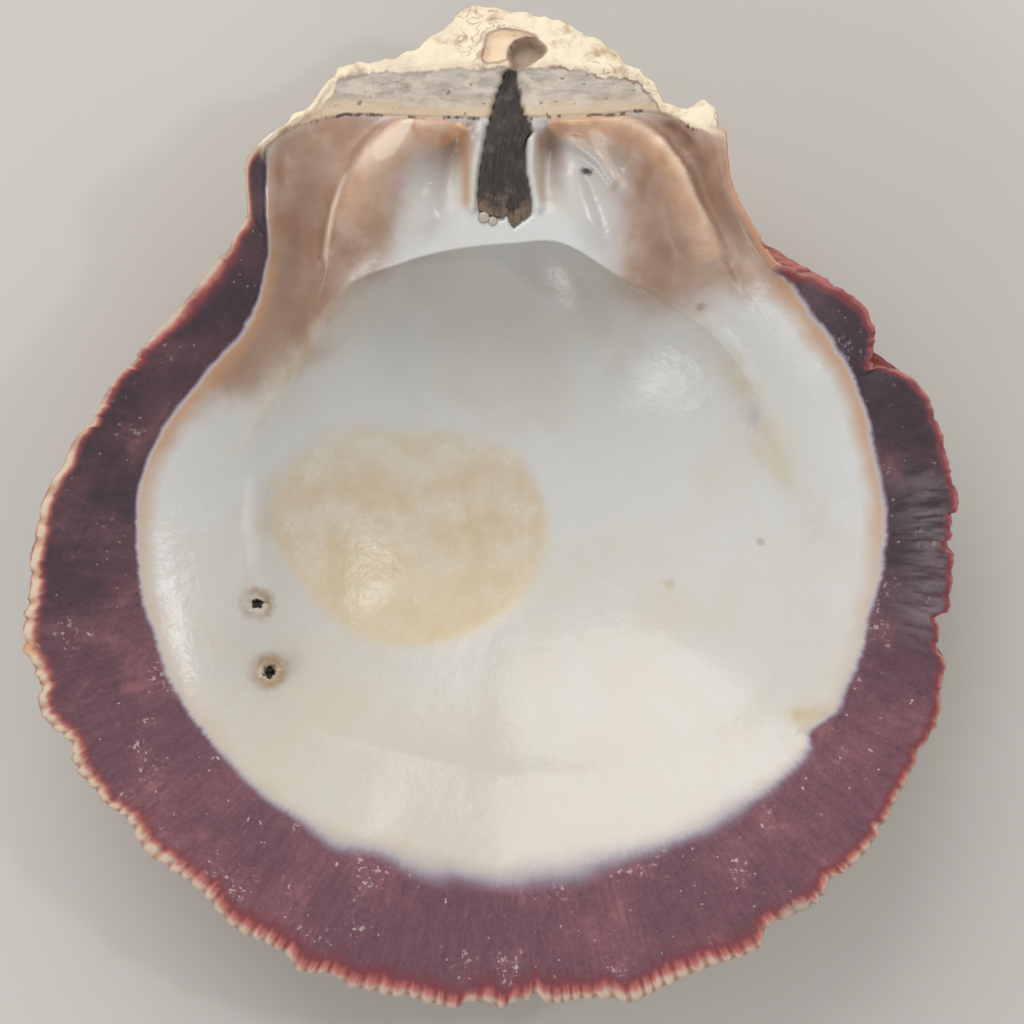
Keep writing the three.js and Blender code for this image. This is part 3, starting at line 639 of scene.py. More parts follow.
FACET_HIGHLIGHTS = [
    [(-16.7, 67.8), (-18.4, 66.9), (-20, 65.6), (-21.6, 64.6), (-23.1, 63), (-22.1, 60.9), (-18.9, 62.7),
     (-16.2, 67)],
    [(12.6, 66.3), (15.1, 65.5), (16.5, 61.6), (19.2, 57.8), (18.6, 56.6), (16.2, 58.9), (14.5, 61.5),
     (12.9, 64.4)],
]  # painted highlights on faces of the teeth
STRIPES = [
    ([(-7.9, 66.3), (-7.7, 54.5)], 0.9, 0.9, 1.0, 0.8),
    ([(5.0, 65.5), (5.1, 55)], 0.5, 0.5, 0.9, 0.5),
]  # of ochre, on either side of the ligament
SMEARS = [
    ([(32, 36), (36, 31), (40.5, 22), (42.5, 14)], 2.4, 2.0, 0.5, 0.7),
    ([(44, 12), (50, 4), (52, -2)], 3.0, 2.0, 0.4, 0.3),
    ([(48, -31), (52, -30)], 1.5, 1.5, 0.9, 0.6),
    ([(-40, 8), (-42, 0)], 2.0, 1.5, 0.5, 0.5),
    ([(-30, 37), (-40, 24), (-46, 14)], 1.6, 1.0, 0.7, 0.4),
]  # yellowish stains on the lining
FRINGE_WIDTHS = [
    (20, 1.6), (28, 1.9), (40, 2.4), (44, 2.4), (124, 1.6), (128, 1.8), (134, 2.2), (138, 3.0), (144, 3.4),
    (150, 2.8), (159, 1.8), (180, 2.6), (193, 3.2), (213, 3.2), (240, 4.6), (285, 4.8), (305, 3.6),
    (320, 2.6), (346, 1.5),
]
FRINGE_PALENESS = [
    (0, 0.0), (44, 0.0), (124, 0.7), (132, 0.5), (140, 0.35), (160, 0.4), (172, 0.95), (200, 0.9),
    (225, 0.4), (270, 0.25), (300, 0.45), (325, 0.4), (345, 0.1),
]
VEIL_WIDTHS = [
    (0, 0.9), (180, 0.8), (215, 1.0), (235, 2.0), (255, 3.2), (280, 4.0), (305, 3.2), (320, 1.6),
    (340, 1.0),
]
BAND_NOTCH = ([(53.5, -33.5), (50.8, -34.2)], 2.0, 2.4, 2.6, 2.2)  # where the band reaches in
STRIP_SPAN = (61.5, 65, 122.4, 124.4)  # the chalky strip and the crust behind the hinge line
BANDLESS_SPAN = (43.5, 45, 122.4, 124.4)  # the hinge and the right ear, which have no band
RIGHT_EAR_SPAN = (43.0, 45.5, 61.5, 64)
WORN_SPAN = (30, 72, 106, 150)  # the back of the hinge, which is worn and lumpy like the oldest shell
LUMPY_SPAN = (58, 66, 114, 126)
WORN_GROWTH = (0.2, 0.85)  # stages of growth up to which the back is all worn, and past which it isn't
LUMPY_GROWTH = (0.25, 0.75)
HINGE_WEAR = 0.75
FAR_OUTSIDE = -9.0  # depth in the hollows that the whole back is given
SHEEN = ([(68, 6), (70.5, -3), (69, -14)], 4.0, 4.5, 0.8, 1.0)  # a painted grey sheen on the right of the band

plan_x, plan_y = points[:, 0], points[:, 1]
facing = np.arctan2(plan_y, plan_x)
inner = fields["back"] < 0.9
fields["free"] = 1 - share_between(facing, *BANDLESS_SPAN)
fields["chalky"] = share_between(facing, *STRIP_SPAN)
fields["ear"] = share_between(facing, *RIGHT_EAR_SPAN)
fields["crust"] = crust_reach(plan_x, plan_y, fields["edge"])
crusted = fields["chalky"] * smooth(fields["crust"], -0.2, 1.5)
worn = 1 - smooth(fields["growth"], *WORN_GROWTH)
worn = np.maximum(worn, HINGE_WEAR * share_between(facing, *WORN_SPAN))
lumpy = 1 - smooth(fields["growth"], *LUMPY_GROWTH)
lumpy = np.maximum(lumpy, share_between(facing, *LUMPY_SPAN))
fields["lumpy"] = np.where(inner, crusted, lumpy)
fields["crusty"] = np.where(inner, crusted, worn)
for name, outlines in (("callus", CALLUS), ("scar", [SCAR]), ("tooth", TEETH), ("facet_highlight", FACET_HIGHLIGHTS)):
    fields[name] = np.max([depth_inside(plan_x, plan_y, outline) for outline in outlines], axis=0)
for name, (outline, _) in zip(("hollow_right", "hollow_left"), BEAK_HOLLOWS):
    fields[name] = np.where(inner, depth_inside(plan_x, plan_y, outline), FAR_OUTSIDE)
for name, paths in (
    ("stain_and_shade", STAINS_AND_SOCKET_SHADE), ("stripe", STRIPES), ("tooth_top", TOOTH_TOPS), ("smear", SMEARS), ("sheen", [SHEEN]),
):
    fields[name] = np.max([swell(plan_x, plan_y, *path) for path in paths], axis=0)
fields["crest_highlight"] = np.max([streak(plan_x, plan_y, *line) for line in CREST_HIGHLIGHTS], axis=0)
fields["fringe"] = fields["edge"] / around(facing, FRINGE_WIDTHS)
fields["pale"] = around(facing, FRINGE_PALENESS)
fields["veil"] = around(facing, VEIL_WIDTHS)
fields["band"] += np.where(inner, swell(plan_x, plan_y, *BAND_NOTCH), 0)

MM = 0.001
SETTLE = (
    Matrix.Rotation(SETTLE_TILT, 4, "X")
    @ Matrix.Translation(Vector((-REST_SPOT[0], -REST_SPOT[1], RIM_HEIGHT)))
)


def settled(xyz):
    """Drawing millimetres to metres in the shared frame."""
    turn = np.array(SETTLE.to_3x3())
    return (xyz @ turn.T + np.array(SETTLE.translation)) * MM


# Spines: large ones in rows by bearing, as on the CAD part, and small ones on the main ribs.
SPINE_ROWS = [-176, -158, -141, -125, -110, -95, -80, -65, -49, -32, -14, 6]
SPINE_GROWTH = [0.948, 0.866, 0.77, 0.69, 0.58]
SPINE_LENGTH = 5.0
SPINE_STUMP = 1.0
SMALL_SPINE = 1.7
SMALL_SPINE_SHARE = 0.3
SMALL_SPINES_BEGIN = 0.4  # stage of growth
RIBS_PER_MAIN_RIB = 5
GROWTH_STEP = 0.02
SPINE_SEED = 11

spine_rng = np.random.default_rng(SPINE_SEED)
spine_length = np.zeros(len(points))
spine_way = np.zeros((len(points), 3))
for growth, (at, columns) in back_rings.items():
    ring = back_ring(growth)[columns]
    along = ring - back_ring(growth - GROWTH_STEP)[columns]
    along /= np.linalg.norm(along, axis=1)[:, None]
    outward = np.cross(np.roll(ring, -1, 0) - np.roll(ring, 1, 0), along)
    outward /= np.maximum(np.linalg.norm(outward, axis=1), 1e-9)[:, None]
    spine_way[at] = outward + along
    slant = spine_way[at] / np.linalg.norm(spine_way[at], axis=1)[:, None]
    tip = ring + slant * SPINE_LENGTH
    hidden = np.hypot(tip[:, 0], tip[:, 1]) < margin_radius(np.arctan2(tip[:, 1], tip[:, 0]))
    clearance = ring[:, 2] + RIM_HEIGHT + math.tan(SETTLE_TILT) * (ring[:, 1] - REST_SPOT[1])
    if growth in SPINE_GROWTH:
        for row in SPINE_ROWS:
            turn = (bearings[columns] - math.radians(row) + math.pi) % (2 * math.pi) - math.pi
            column = np.argmin(np.abs(turn))
            if clearance[column] > SPINE_LENGTH and hidden[column]:
                spine_length[at[column]] = SPINE_STUMP + SPINE_LENGTH * smooth(growth, 0.2, 0.95)
    elif growth > SMALL_SPINES_BEGIN:
        main_rib = np.floor(rib_count[columns] / RIBS_PER_MAIN_RIB)
        crest = (main_rib != np.roll(main_rib, 1)) & (rib_share[columns] > 0.5)
        drawn = spine_rng.random(len(at)) < SMALL_SPINE_SHARE
        chosen = crest & hidden & drawn & (clearance > SMALL_SPINE)
        spine_length[at[chosen]] = SMALL_SPINE * spine_rng.uniform(0.5, 1.2, chosen.sum())
spine_way = spine_way @ np.array(SETTLE.to_3x3()).T

mesh = bpy.data.meshes.new("valve_shell")
mesh.from_pydata(settled(points).tolist(), [], faces)
for name, values in fields.items():
    mesh.attributes.new(name, "FLOAT", "POINT").data.foreach_set("value", values)
mesh.attributes.new("spine", "FLOAT", "POINT").data.foreach_set("value", spine_length * MM)
mesh.attributes.new("spine_way", "FLOAT_VECTOR", "POINT").data.foreach_set("vector", spine_way.ravel())
valve = bpy.data.objects.new("valve_shell", mesh)
bpy.context.collection.objects.link(valve)

# Colours of the shell's two sides, and the nodes that they are made with.


def paint(red, green, blue):
    """A colour from its values on a screen, 0 to 255."""
    screen = (red / 255, green / 255, blue / 255)
    return tuple(v / 12.92 if v < 0.04045 else ((v + 0.055) / 1.055) ** 2.4 for v in screen) + (1.0,)


def add(tree, kind, sockets=(), **settings):
    """Adds a node, with its settings, and its inputs by name or number, linked or set."""
    node = tree.nodes.new(kind)
    for name, value in settings.items():
        setattr(node, name, value)
    for key, value in dict(sockets).items():
        if isinstance(value, bpy.types.NodeSocket):
            tree.links.new(value, node.inputs[key])
        else:
            node.inputs[key].default_value = value
    return node


def attribute(tree, name):
    return add(tree, "ShaderNodeAttribute", attribute_name=name).outputs["Fac"]


def maths(tree, operation, first, second=0.0, third=0.0):
    return add(tree, "ShaderNodeMath", {0: first, 1: second, 2: third}, operation=operation).outputs[0]


def product(tree, *factors):
    result = factors[0]
    for factor in factors[1:]:
        result = maths(tree, "MULTIPLY", result, factor)
    return result


def shifted(tree, value, noise, size):
    """A value with noise around one half added to it, scaled to a size."""
    return maths(tree, "MULTIPLY_ADD", maths(tree, "SUBTRACT", noise, 0.5), size, value)


def span(tree, value, low, high, start=0.0, end=1.0):
    """A smooth step from start to end as the value goes from low to high."""
    ends = {"Value": value, "From Min": low, "From Max": high, "To Min": start, "To Max": end}
    return add(tree, "ShaderNodeMapRange", ends, interpolation_type="SMOOTHSTEP").outputs[0]


def blend(tree, share, first, second, mode="MIX"):
    sockets = {0: share, 6: first, 7: second}
    return add(tree, "ShaderNodeMix", sockets, data_type="RGBA", blend_type=mode).outputs[2]


def cloud(tree, where, scale, detail=3.0, roughness=0.55):
    sockets = {"Vector": where, "Scale": scale, "Detail": detail, "Roughness": roughness}
    return add(tree, "ShaderNodeTexNoise", sockets).outputs["Fac"]


def winding_lines(tree, where, scale, detail, distortion):
    """Zero on thin winding lines, and more away from them."""
    sockets = {"Vector": where, "Scale": scale, "Detail": detail, "Distortion": distortion}
    noise = add(tree, "ShaderNodeTexNoise", sockets).outputs["Fac"]
    return maths(tree, "ABSOLUTE", maths(tree, "SUBTRACT", noise, 0.5))


def stretched(tree, where, x, y, z):
    return add(tree, "ShaderNodeVectorMath", {0: where, 1: (x, y, z)}, operation="MULTIPLY").outputs[0]


def node_group(name, inputs, outputs):
    tree = bpy.data.node_groups.new(name, "ShaderNodeTree")
    for socket, kind in inputs:
        tree.interface.new_socket(socket, in_out="INPUT", socket_type="NodeSocket" + kind)
    for socket, kind in outputs:
        tree.interface.new_socket(socket, in_out="OUTPUT", socket_type="NodeSocket" + kind)
    return tree, tree.nodes.new("NodeGroupInput").outputs, tree.nodes.new("NodeGroupOutput").inputs


def use(tree, group, **sockets):
    node = add(tree, "ShaderNodeGroup", node_tree=group)
    for key, value in sockets.items():
        tree.links.new(value, node.inputs[key])
    return node.outputs


def material(name):
    new = bpy.data.materials.new(name)
    new.use_nodes = True
    tree = new.node_tree
    place = tree.nodes.new("ShaderNodeTexCoord").outputs["Object"]
    return new, tree, tree.nodes["Principled BSDF"].inputs, place


# Streaks that run with the ribs: fine lines across the band and down the back.
STREAKS_PER_RIB = {"Fine": 2.6, "Broad": 0.45}
STREAK_SHORTNESS = 0.16

streaks, given, made = node_group(
    "rib_streaks", [("Rib", "Float"), ("Edge", "Float")], [("Fine", "Float"), ("Broad", "Float")]
)
along = maths(streaks, "MULTIPLY", given["Edge"], STREAK_SHORTNESS)
for name, count in STREAKS_PER_RIB.items():
    across_ribs = maths(streaks, "MULTIPLY", given["Rib"], count)
    spot = add(streaks, "ShaderNodeCombineXYZ", {0: across_ribs, 1: along}).outputs[0]
    streaks.links.new(cloud(streaks, spot, 1.0), made[name])

# Chalky crust: cream lumps with grey-brown hollows and a few wine-red veins.
CRUST_CREAM = paint(247, 233, 205)
CRUST_HOLLOW = paint(200, 174, 142)
CRUST_GREY = paint(226, 206, 188)
CRUST_VEIN = paint(140, 84, 94)

chalk, given, made = node_group(
    "chalk_crust", [("Place", "Vector")], [("Colour", "Color"), ("Height", "Float")]
)
lumps = cloud(chalk, given["Place"], 240.0, 4.0, 0.6)
greyed = span(chalk, cloud(chalk, given["Place"], 120.0, 2.0), 0.52, 0.68)
veins = span(chalk, winding_lines(chalk, given["Place"], 230.0, 3.0, 1.6), 0.008, 0.04, 0.5, 0.0)
veins = product(chalk, veins, span(chalk, cloud(chalk, given["Place"], 85.0, 1.0), 0.48, 0.6))
colour = blend(chalk, span(chalk, lumps, 0.3, 0.52), CRUST_HOLLOW, CRUST_CREAM)
colour = blend(chalk, product(chalk, greyed, 0.6), colour, CRUST_GREY)
colour = blend(chalk, veins, colour, CRUST_VEIN)
chalk.links.new(colour, made["Colour"])
chalk.links.new(lumps, made["Height"])

# The growing fringe: crimson where it leaves the band, salmon between its flutes, pale at the edge.
FRINGE_CRIMSON = paint(120, 56, 64)
FRINGE_RED = paint(138, 62, 66)
FRINGE_SALMON = paint(182, 104, 96)
FRINGE_RIM = paint(158, 92, 90)
RED_TIP = paint(168, 112, 106)
GREY_TIP = paint(184, 164, 152)
PALE_TIP = paint(220, 198, 172)
RED_GROOVE = paint(166, 118, 110)
PALE_GROOVE = paint(196, 156, 132)

fringe, given, made = node_group(
    "growing_fringe",
    [("Reach", "Float"), ("Rib", "Float"), ("Paleness", "Float")],
    [("Colour", "Color"), ("Share", "Float")],
)
flute = span(fringe, maths(fringe, "PINGPONG", given["Rib"], 0.5), 0.04, 0.3)
pale_end = span(fringe, given["Paleness"], 0.0, 1.0, 0.2, 0.68)
beyond = maths(fringe, "SUBTRACT", given["Reach"], pale_end)
tip = blend(fringe, span(fringe, given["Paleness"], 0.0, 0.2), RED_TIP, GREY_TIP)
tip = blend(fringe, given["Paleness"], tip, PALE_TIP)
groove = blend(fringe, given["Paleness"], RED_GROOVE, PALE_GROOVE)
tip = blend(fringe, flute, groove, tip)
body = blend(fringe, flute, FRINGE_RED, FRINGE_SALMON)
colour = blend(fringe, span(fringe, beyond, -0.2, 0.12), tip, body)
colour = blend(fringe, span(fringe, beyond, 0.05, 0.42), colour, FRINGE_CRIMSON)
rim = span(fringe, given["Reach"], 0.06, 0.24, 1.0, 0.0)
rim = product(fringe, rim, span(fringe, given["Paleness"], 0.5, 1.0, 0.0, 0.8))
colour = blend(fringe, rim, colour, FRINGE_RIM)
fringe.links.new(colour, made["Colour"])
fringe.links.new(span(fringe, given["Reach"], 0.6, 1.2, 1.0, 0.0), made["Share"])

# A hole left by a borer, at a place on the shell: its mouth, painted dark as shade, and the stain around it.
bore, given, made = node_group(
    "bore_hole",
    [("Place", "Vector"), ("Centre", "Vector"), ("Width", "Float")],
    [("Shaded Mouth", "Float"), ("Rim", "Float"), ("Stain", "Float")],
)
above = stretched(bore, given["Place"], 1.0, 1.0, 0.0)
away = add(bore, "ShaderNodeVectorMath", {0: above, 1: given["Centre"]}, operation="DISTANCE")
away = maths(bore, "DIVIDE", away.outputs["Value"], given["Width"])
away = shifted(bore, away, cloud(bore, given["Place"], 900.0, 2.0), 1.4)
bore.links.new(span(bore, away, 0.75, 1.0, 1.0, 0.0), made["Shaded Mouth"])
bore.links.new(span(bore, away, 1.2, 2.0, 1.0, 0.0), made["Rim"])
bore.links.new(span(bore, away, 1.6, 3.6, 1.0, 0.0), made["Stain"])


def inner_values(tree, place):
    """What the colours of the inner side are worked out from."""
    edge = attribute(tree, "edge")
    rib = attribute(tree, "rib")
    return SimpleNamespace(
        place=place,
        axes=add(tree, "ShaderNodeSeparateXYZ", {0: place}).outputs,
        edge=edge,
        rib=rib,
        band=attribute(tree, "band"),
        free=attribute(tree, "free"),
        chalky=attribute(tree, "chalky"),
        lines=use(tree, streaks, Rib=rib, Edge=edge),
        clouds=cloud(tree, place, 28.0),
        mottle=cloud(tree, place, 140.0),
        patchy=cloud(tree, place, 230.0, 4.0, 0.6),
        grain=cloud(tree, place, 1300.0, 2.0),
    )


# Porcelain: grey-white, creamier towards the free margin, clouded, with yellowish stains, and painted shade
# in the bowl below the hinge plate.
PORCELAIN = paint(210, 211, 209)
PORCELAIN_CREAM = paint(211, 205, 192)
PORCELAIN_COOL = paint(214, 218, 220)
PORCELAIN_WARM = paint(210, 204, 188)
YELLOW_STAIN = paint(196, 180, 140)
PAINTED_SHADE_UNDER_PLATE = paint(172, 166, 156)  # painted shade in the bowl, below the hinge plate
VALLEY_STAIN_AND_SHADE = paint(138, 104, 85)
CREST_HIGHLIGHT = paint(250, 228, 206)


def porcelain(tree, seen):
    warm = span(tree, shifted(tree, seen.axes[1], seen.clouds, -0.05), 0.015, -0.055)
    colour = blend(tree, warm, PORCELAIN, PORCELAIN_CREAM)
    cooler = span(tree, shifted(tree, seen.clouds, seen.lines["Broad"], 0.5), 0.45, 0.75, 0.0, 0.8)
    cooler = product(tree, cooler, span(tree, warm, 0.0, 1.0, 1.0, 0.35))
    colour = blend(tree, cooler, colour, PORCELAIN_COOL)
    creamy = span(tree, cloud(tree, seen.place, 45.0), 0.5, 0.7, 0.0, 0.6)
    colour = blend(tree, creamy, colour, PORCELAIN_WARM)
    smear = product(tree, attribute(tree, "smear"), span(tree, seen.mottle, 0.3, 0.65))
    colour = blend(tree, smear, colour, YELLOW_STAIN)
    # Painted shade, darker towards the hinge, where the plate overhangs the bowl.
    painted_shade = span(tree, seen.axes[1], 0.0, 0.04, 0.0, 0.45)
    painted_shade = product(tree, span(tree, seen.edge, 40.0, 60.0), painted_shade)
    return blend(tree, painted_shade, colour, PAINTED_SHADE_UNDER_PLATE)


def stained_and_shaded(tree, colour):
    # Brown staining in the valleys, and painted shade in the sockets.
    return blend(tree, product(tree, attribute(tree, "stain_and_shade"), 0.8), colour, VALLEY_STAIN_AND_SHADE)


def with_crest_highlights(tree, seen, colour):
    # Painted highlights along the crests.
    crest_highlight = product(tree, attribute(tree, "crest_highlight"), span(tree, seen.mottle, 0.25, 0.55, 0.45, 1.0))
    return blend(tree, crest_highlight, colour, CREST_HIGHLIGHT)


# The muscle scar: beige, mottled and scratched, fading upwards. Borers left two holes beside it.
SCAR_BEIGE = paint(204, 184, 152)
SCAR_PALE = paint(212, 203, 187)
SCAR_YELLOW = paint(222, 203, 168)
SCAR_SCRATCH = paint(240, 228, 208)
BORE_STAIN = paint(164, 132, 96)
BORE_RIM = paint(214, 204, 188)
BORE_MOUTH_SHADE = paint(46, 38, 32)
BORE_HOLES = [((-43.2, -12.5, -11.3), 1.0), ((-41.2, -24.0, -11.5), 1.1)]  # place and half width


def muscle_scar(tree, seen, colour):
    scar = shifted(tree, shifted(tree, attribute(tree, "scar"), seen.mottle, 3.0), seen.clouds, 4.0)
    share = product(tree, span(tree, scar, -1.2, 2.2), span(tree, seen.axes[1], 0.026, -0.004, 0.35, 0.95))
    beige = blend(tree, span(tree, seen.mottle, 0.3, 0.7), SCAR_BEIGE, SCAR_PALE)
    beige = blend(tree, span(tree, seen.axes[1], 0.0, -0.02, 0.0, 0.6), beige, SCAR_YELLOW)
    colour = blend(tree, share, colour, beige)
    scratches = span(tree, winding_lines(tree, seen.place, 420.0, 2.0, 1.2), 0.004, 0.02, 1.0, 0.0)
    scratches = product(tree, scratches, span(tree, seen.mottle, 0.42, 0.58), share, 0.4)
    return blend(tree, scratches, colour, SCAR_SCRATCH)


def bored(tree, seen, colour):
    for centre, width in BORE_HOLES:
        hole = use(tree, bore, Place=seen.place)
        sockets = hole["Shaded Mouth"].node.inputs
        sockets["Centre"].default_value = settled(np.array([centre]))[0] * (1, 1, 0)
        sockets["Width"].default_value = width * MM
        stain_and_shade = product(tree, hole["Stain"], span(tree, seen.patchy, 0.35, 0.6, 0.15, 0.8))
        colour = blend(tree, stain_and_shade, colour, BORE_STAIN)
        rim = product(tree, hole["Rim"], span(tree, seen.patchy, 0.4, 0.6, 0.9, 0.3))
        colour = blend(tree, rim, colour, BORE_RIM)
        # The hole's mouth is painted dark as shade.
        colour = blend(tree, hole["Shaded Mouth"], colour, BORE_MOUTH_SHADE)
    return colour


# The hinge plate: tan callus, stained in its valleys and painted with shade in its sockets, with orange
# teeth that carry painted highlights on their crests and faces, and a painted glow along the right ear's
# edge.
CALLUS_PALE = paint(186, 160, 143)
CALLUS_TAN = paint(168, 134, 114)
TOOTH_ORANGE = paint(206, 156, 118)
TOOTH_PALE = paint(230, 188, 150)
FACET_HIGHLIGHT = paint(238, 220, 202)
STRIPE_OCHRE = paint(186, 138, 94)
EAR_EDGE_GLOW = paint(222, 156, 116)


def hinge_plate(tree, seen, colour):
    """The plate's colour, and the share of callus in it."""
    callus = span(tree, shifted(tree, attribute(tree, "callus"), seen.mottle, 4.0), -5.0, 3.0)
    tan = blend(tree, span(tree, seen.mottle, 0.35, 0.65), CALLUS_PALE, CALLUS_TAN)
    colour = stained_and_shaded(tree, blend(tree, callus, colour, tan))
    tooth = span(tree, shifted(tree, attribute(tree, "tooth"), seen.mottle, 1.2), -0.4, 0.5)
    tooth = product(tree, tooth, attribute(tree, "tooth_top"), 0.9)
    orange = span(tree, cloud(tree, seen.place, 260.0, 2.0), 0.35, 0.65)
    colour = blend(tree, tooth, colour, blend(tree, orange, TOOTH_ORANGE, TOOTH_PALE))
    # Pale faces of the teeth, painted as highlights.
    facet_highlight = span(tree, shifted(tree, attribute(tree, "facet_highlight"), seen.mottle, 1.2), -0.3, 0.5)
    facet_highlight = product(tree, facet_highlight, span(tree, seen.axes[0], -0.005, 0.005, 0.8, 0.45))
    colour = with_crest_highlights(tree, seen, blend(tree, facet_highlight, colour, FACET_HIGHLIGHT))
    colour = blend(tree, product(tree, attribute(tree, "stripe"), 0.85), colour, STRIPE_OCHRE)
    # Painted glow: the orange along the right ear's thin edge stands in for light shining through it.
    ear_edge = span(tree, shifted(tree, seen.edge, seen.mottle, 1.2), 0.2, 1.8, 0.8, 0.0)
    return blend(tree, product(tree, attribute(tree, "ear"), ear_edge), colour, EAR_EDGE_GLOW), callus


# Where the lining thins out over the band: a tan line at the sides, a grey haze below.
BORDER_TAN = paint(190, 146, 112)
HAZE_PALE = paint(190, 186, 186)
HAZE_MAUVE = paint(148, 132, 150)


def thinned(tree, seen, colour):
    """The colour of the lining as it thins out, and the share of the band that shows through it."""
    tan_line = span(tree, shifted(tree, seen.band, seen.mottle, 3.5), -4.5, -0.6)
    tan_line = product(tree, tan_line, seen.free, span(tree, seen.axes[1], -0.03, 0.01, 0.3, 0.85))
    colour = blend(tree, tan_line, colour, BORDER_TAN)
    width = attribute(tree, "veil")
    veil = shifted(tree, seen.band, seen.lines["Fine"], 0.9)
    veil = shifted(tree, veil, cloud(tree, seen.place, 110.0), 1.6)
    veil = shifted(tree, veil, seen.clouds, maths(tree, "MULTIPLY", width, 3.0))
    veil = maths(tree, "DIVIDE", veil, width)
    haze = blend(tree, span(tree, veil, -1.0, 0.1), HAZE_PALE, HAZE_MAUVE)
    colour = blend(tree, product(tree, span(tree, veil, -1.5, -0.3), seen.free), colour, haze)
    return colour, product(tree, span(tree, veil, -0.5, 0.35), seen.free)


# The dark band, with its streaks, glints and a painted grey sheen, and the fringe at its edge.
PLUM_DARK = paint(60, 44, 53)
PLUM = paint(108, 70, 83)
PLUM_PATCH = paint(128, 82, 92)
PLUM_STREAK = paint(148, 99, 102)
PAINTED_BAND_SHEEN = paint(128, 120, 124)
GLINT = paint(204, 190, 190)


def dark_band(tree, seen):
    lower = span(tree, seen.axes[1], -0.005, -0.045)
    plum = blend(tree, lower, PLUM_DARK, PLUM)
    brighter = span(tree, cloud(tree, seen.place, 75.0, 4.0), 0.42, 0.66)
    brighter = product(tree, brighter, span(tree, lower, 0.0, 1.0, 0.3, 0.75))
    plum = blend(tree, brighter, plum, PLUM_PATCH)
    streaky = product(tree, span(tree, seen.lines["Broad"], 0.5, 0.72), brighter)
    plum = blend(tree, streaky, plum, PLUM_STREAK)
    shade = shifted(tree, shifted(tree, 1.0, seen.lines["Fine"], 0.8), seen.grain, 0.7)
    shade = add(tree, "ShaderNodeCombineXYZ", {0: shade, 1: shade, 2: shade}).outputs[0]
    plum = blend(tree, 1.0, plum, shade, "MULTIPLY")
    # Painted sheen: a grey reflection on the right of the band.
    painted_sheen = product(tree, attribute(tree, "sheen"), span(tree, seen.lines["Fine"], 0.35, 0.6), 0.6)
    plum = blend(tree, painted_sheen, plum, PAINTED_BAND_SHEEN)
    clusters = span(tree, cloud(tree, seen.place, 150.0), 0.58, 0.68)
    glints = product(tree, span(tree, cloud(tree, seen.place, 1100.0, 3.0, 0.6), 0.56, 0.62), clusters)
    single = span(tree, cloud(tree, seen.place, 1000.0, 1.0), 0.73, 0.78)
    glints = maths(tree, "MAXIMUM", glints, single)
    return blend(tree, product(tree, glints, span(tree, lower, 0.0, 1.0, 0.3, 0.65)), plum, GLINT)


def fringe_tips(tree, seen):
    reach = shifted(tree, attribute(tree, "fringe"), seen.lines["Fine"], 0.5)
    reach = shifted(tree, reach, seen.mottle, 0.6)
    paleness = shifted(tree, attribute(tree, "pale"), seen.clouds, 0.9)
    return use(tree, fringe, Reach=reach, Rib=seen.rib, Paleness=paleness)


# Behind the hinge line: a chalky strip with fine growth lines, a dark seam that is partly painted shade
# under the crust's edge, and the crust around the beak with painted shading in its hollows.
STRIP_GREY = paint(160, 150, 140)
STRIP_PALE = paint(200, 191, 181)
STRIP_CREAM = paint(214, 203, 186)
STRIP_TAN = paint(212, 188, 156)
STRIP_SPECK = paint(112, 84, 68)
SEAM_LINE_AND_SHADE = paint(126, 86, 84)
HOLLOW_LIP = paint(150, 108, 98)
HOLLOW_WALL_SHADING = [
    ("hollow_left", (-0.005, 0.001), paint(228, 200, 166), paint(240, 216, 186)),
    ("hollow_right", (-0.001, 0.006), paint(88, 74, 62), paint(176, 156, 136)),
]  # name, left and right side in metres, and their colours: painted shade on the darker side and painted light on the lighter side of each hollow
HINGE_CRACK = paint(74, 50, 42)


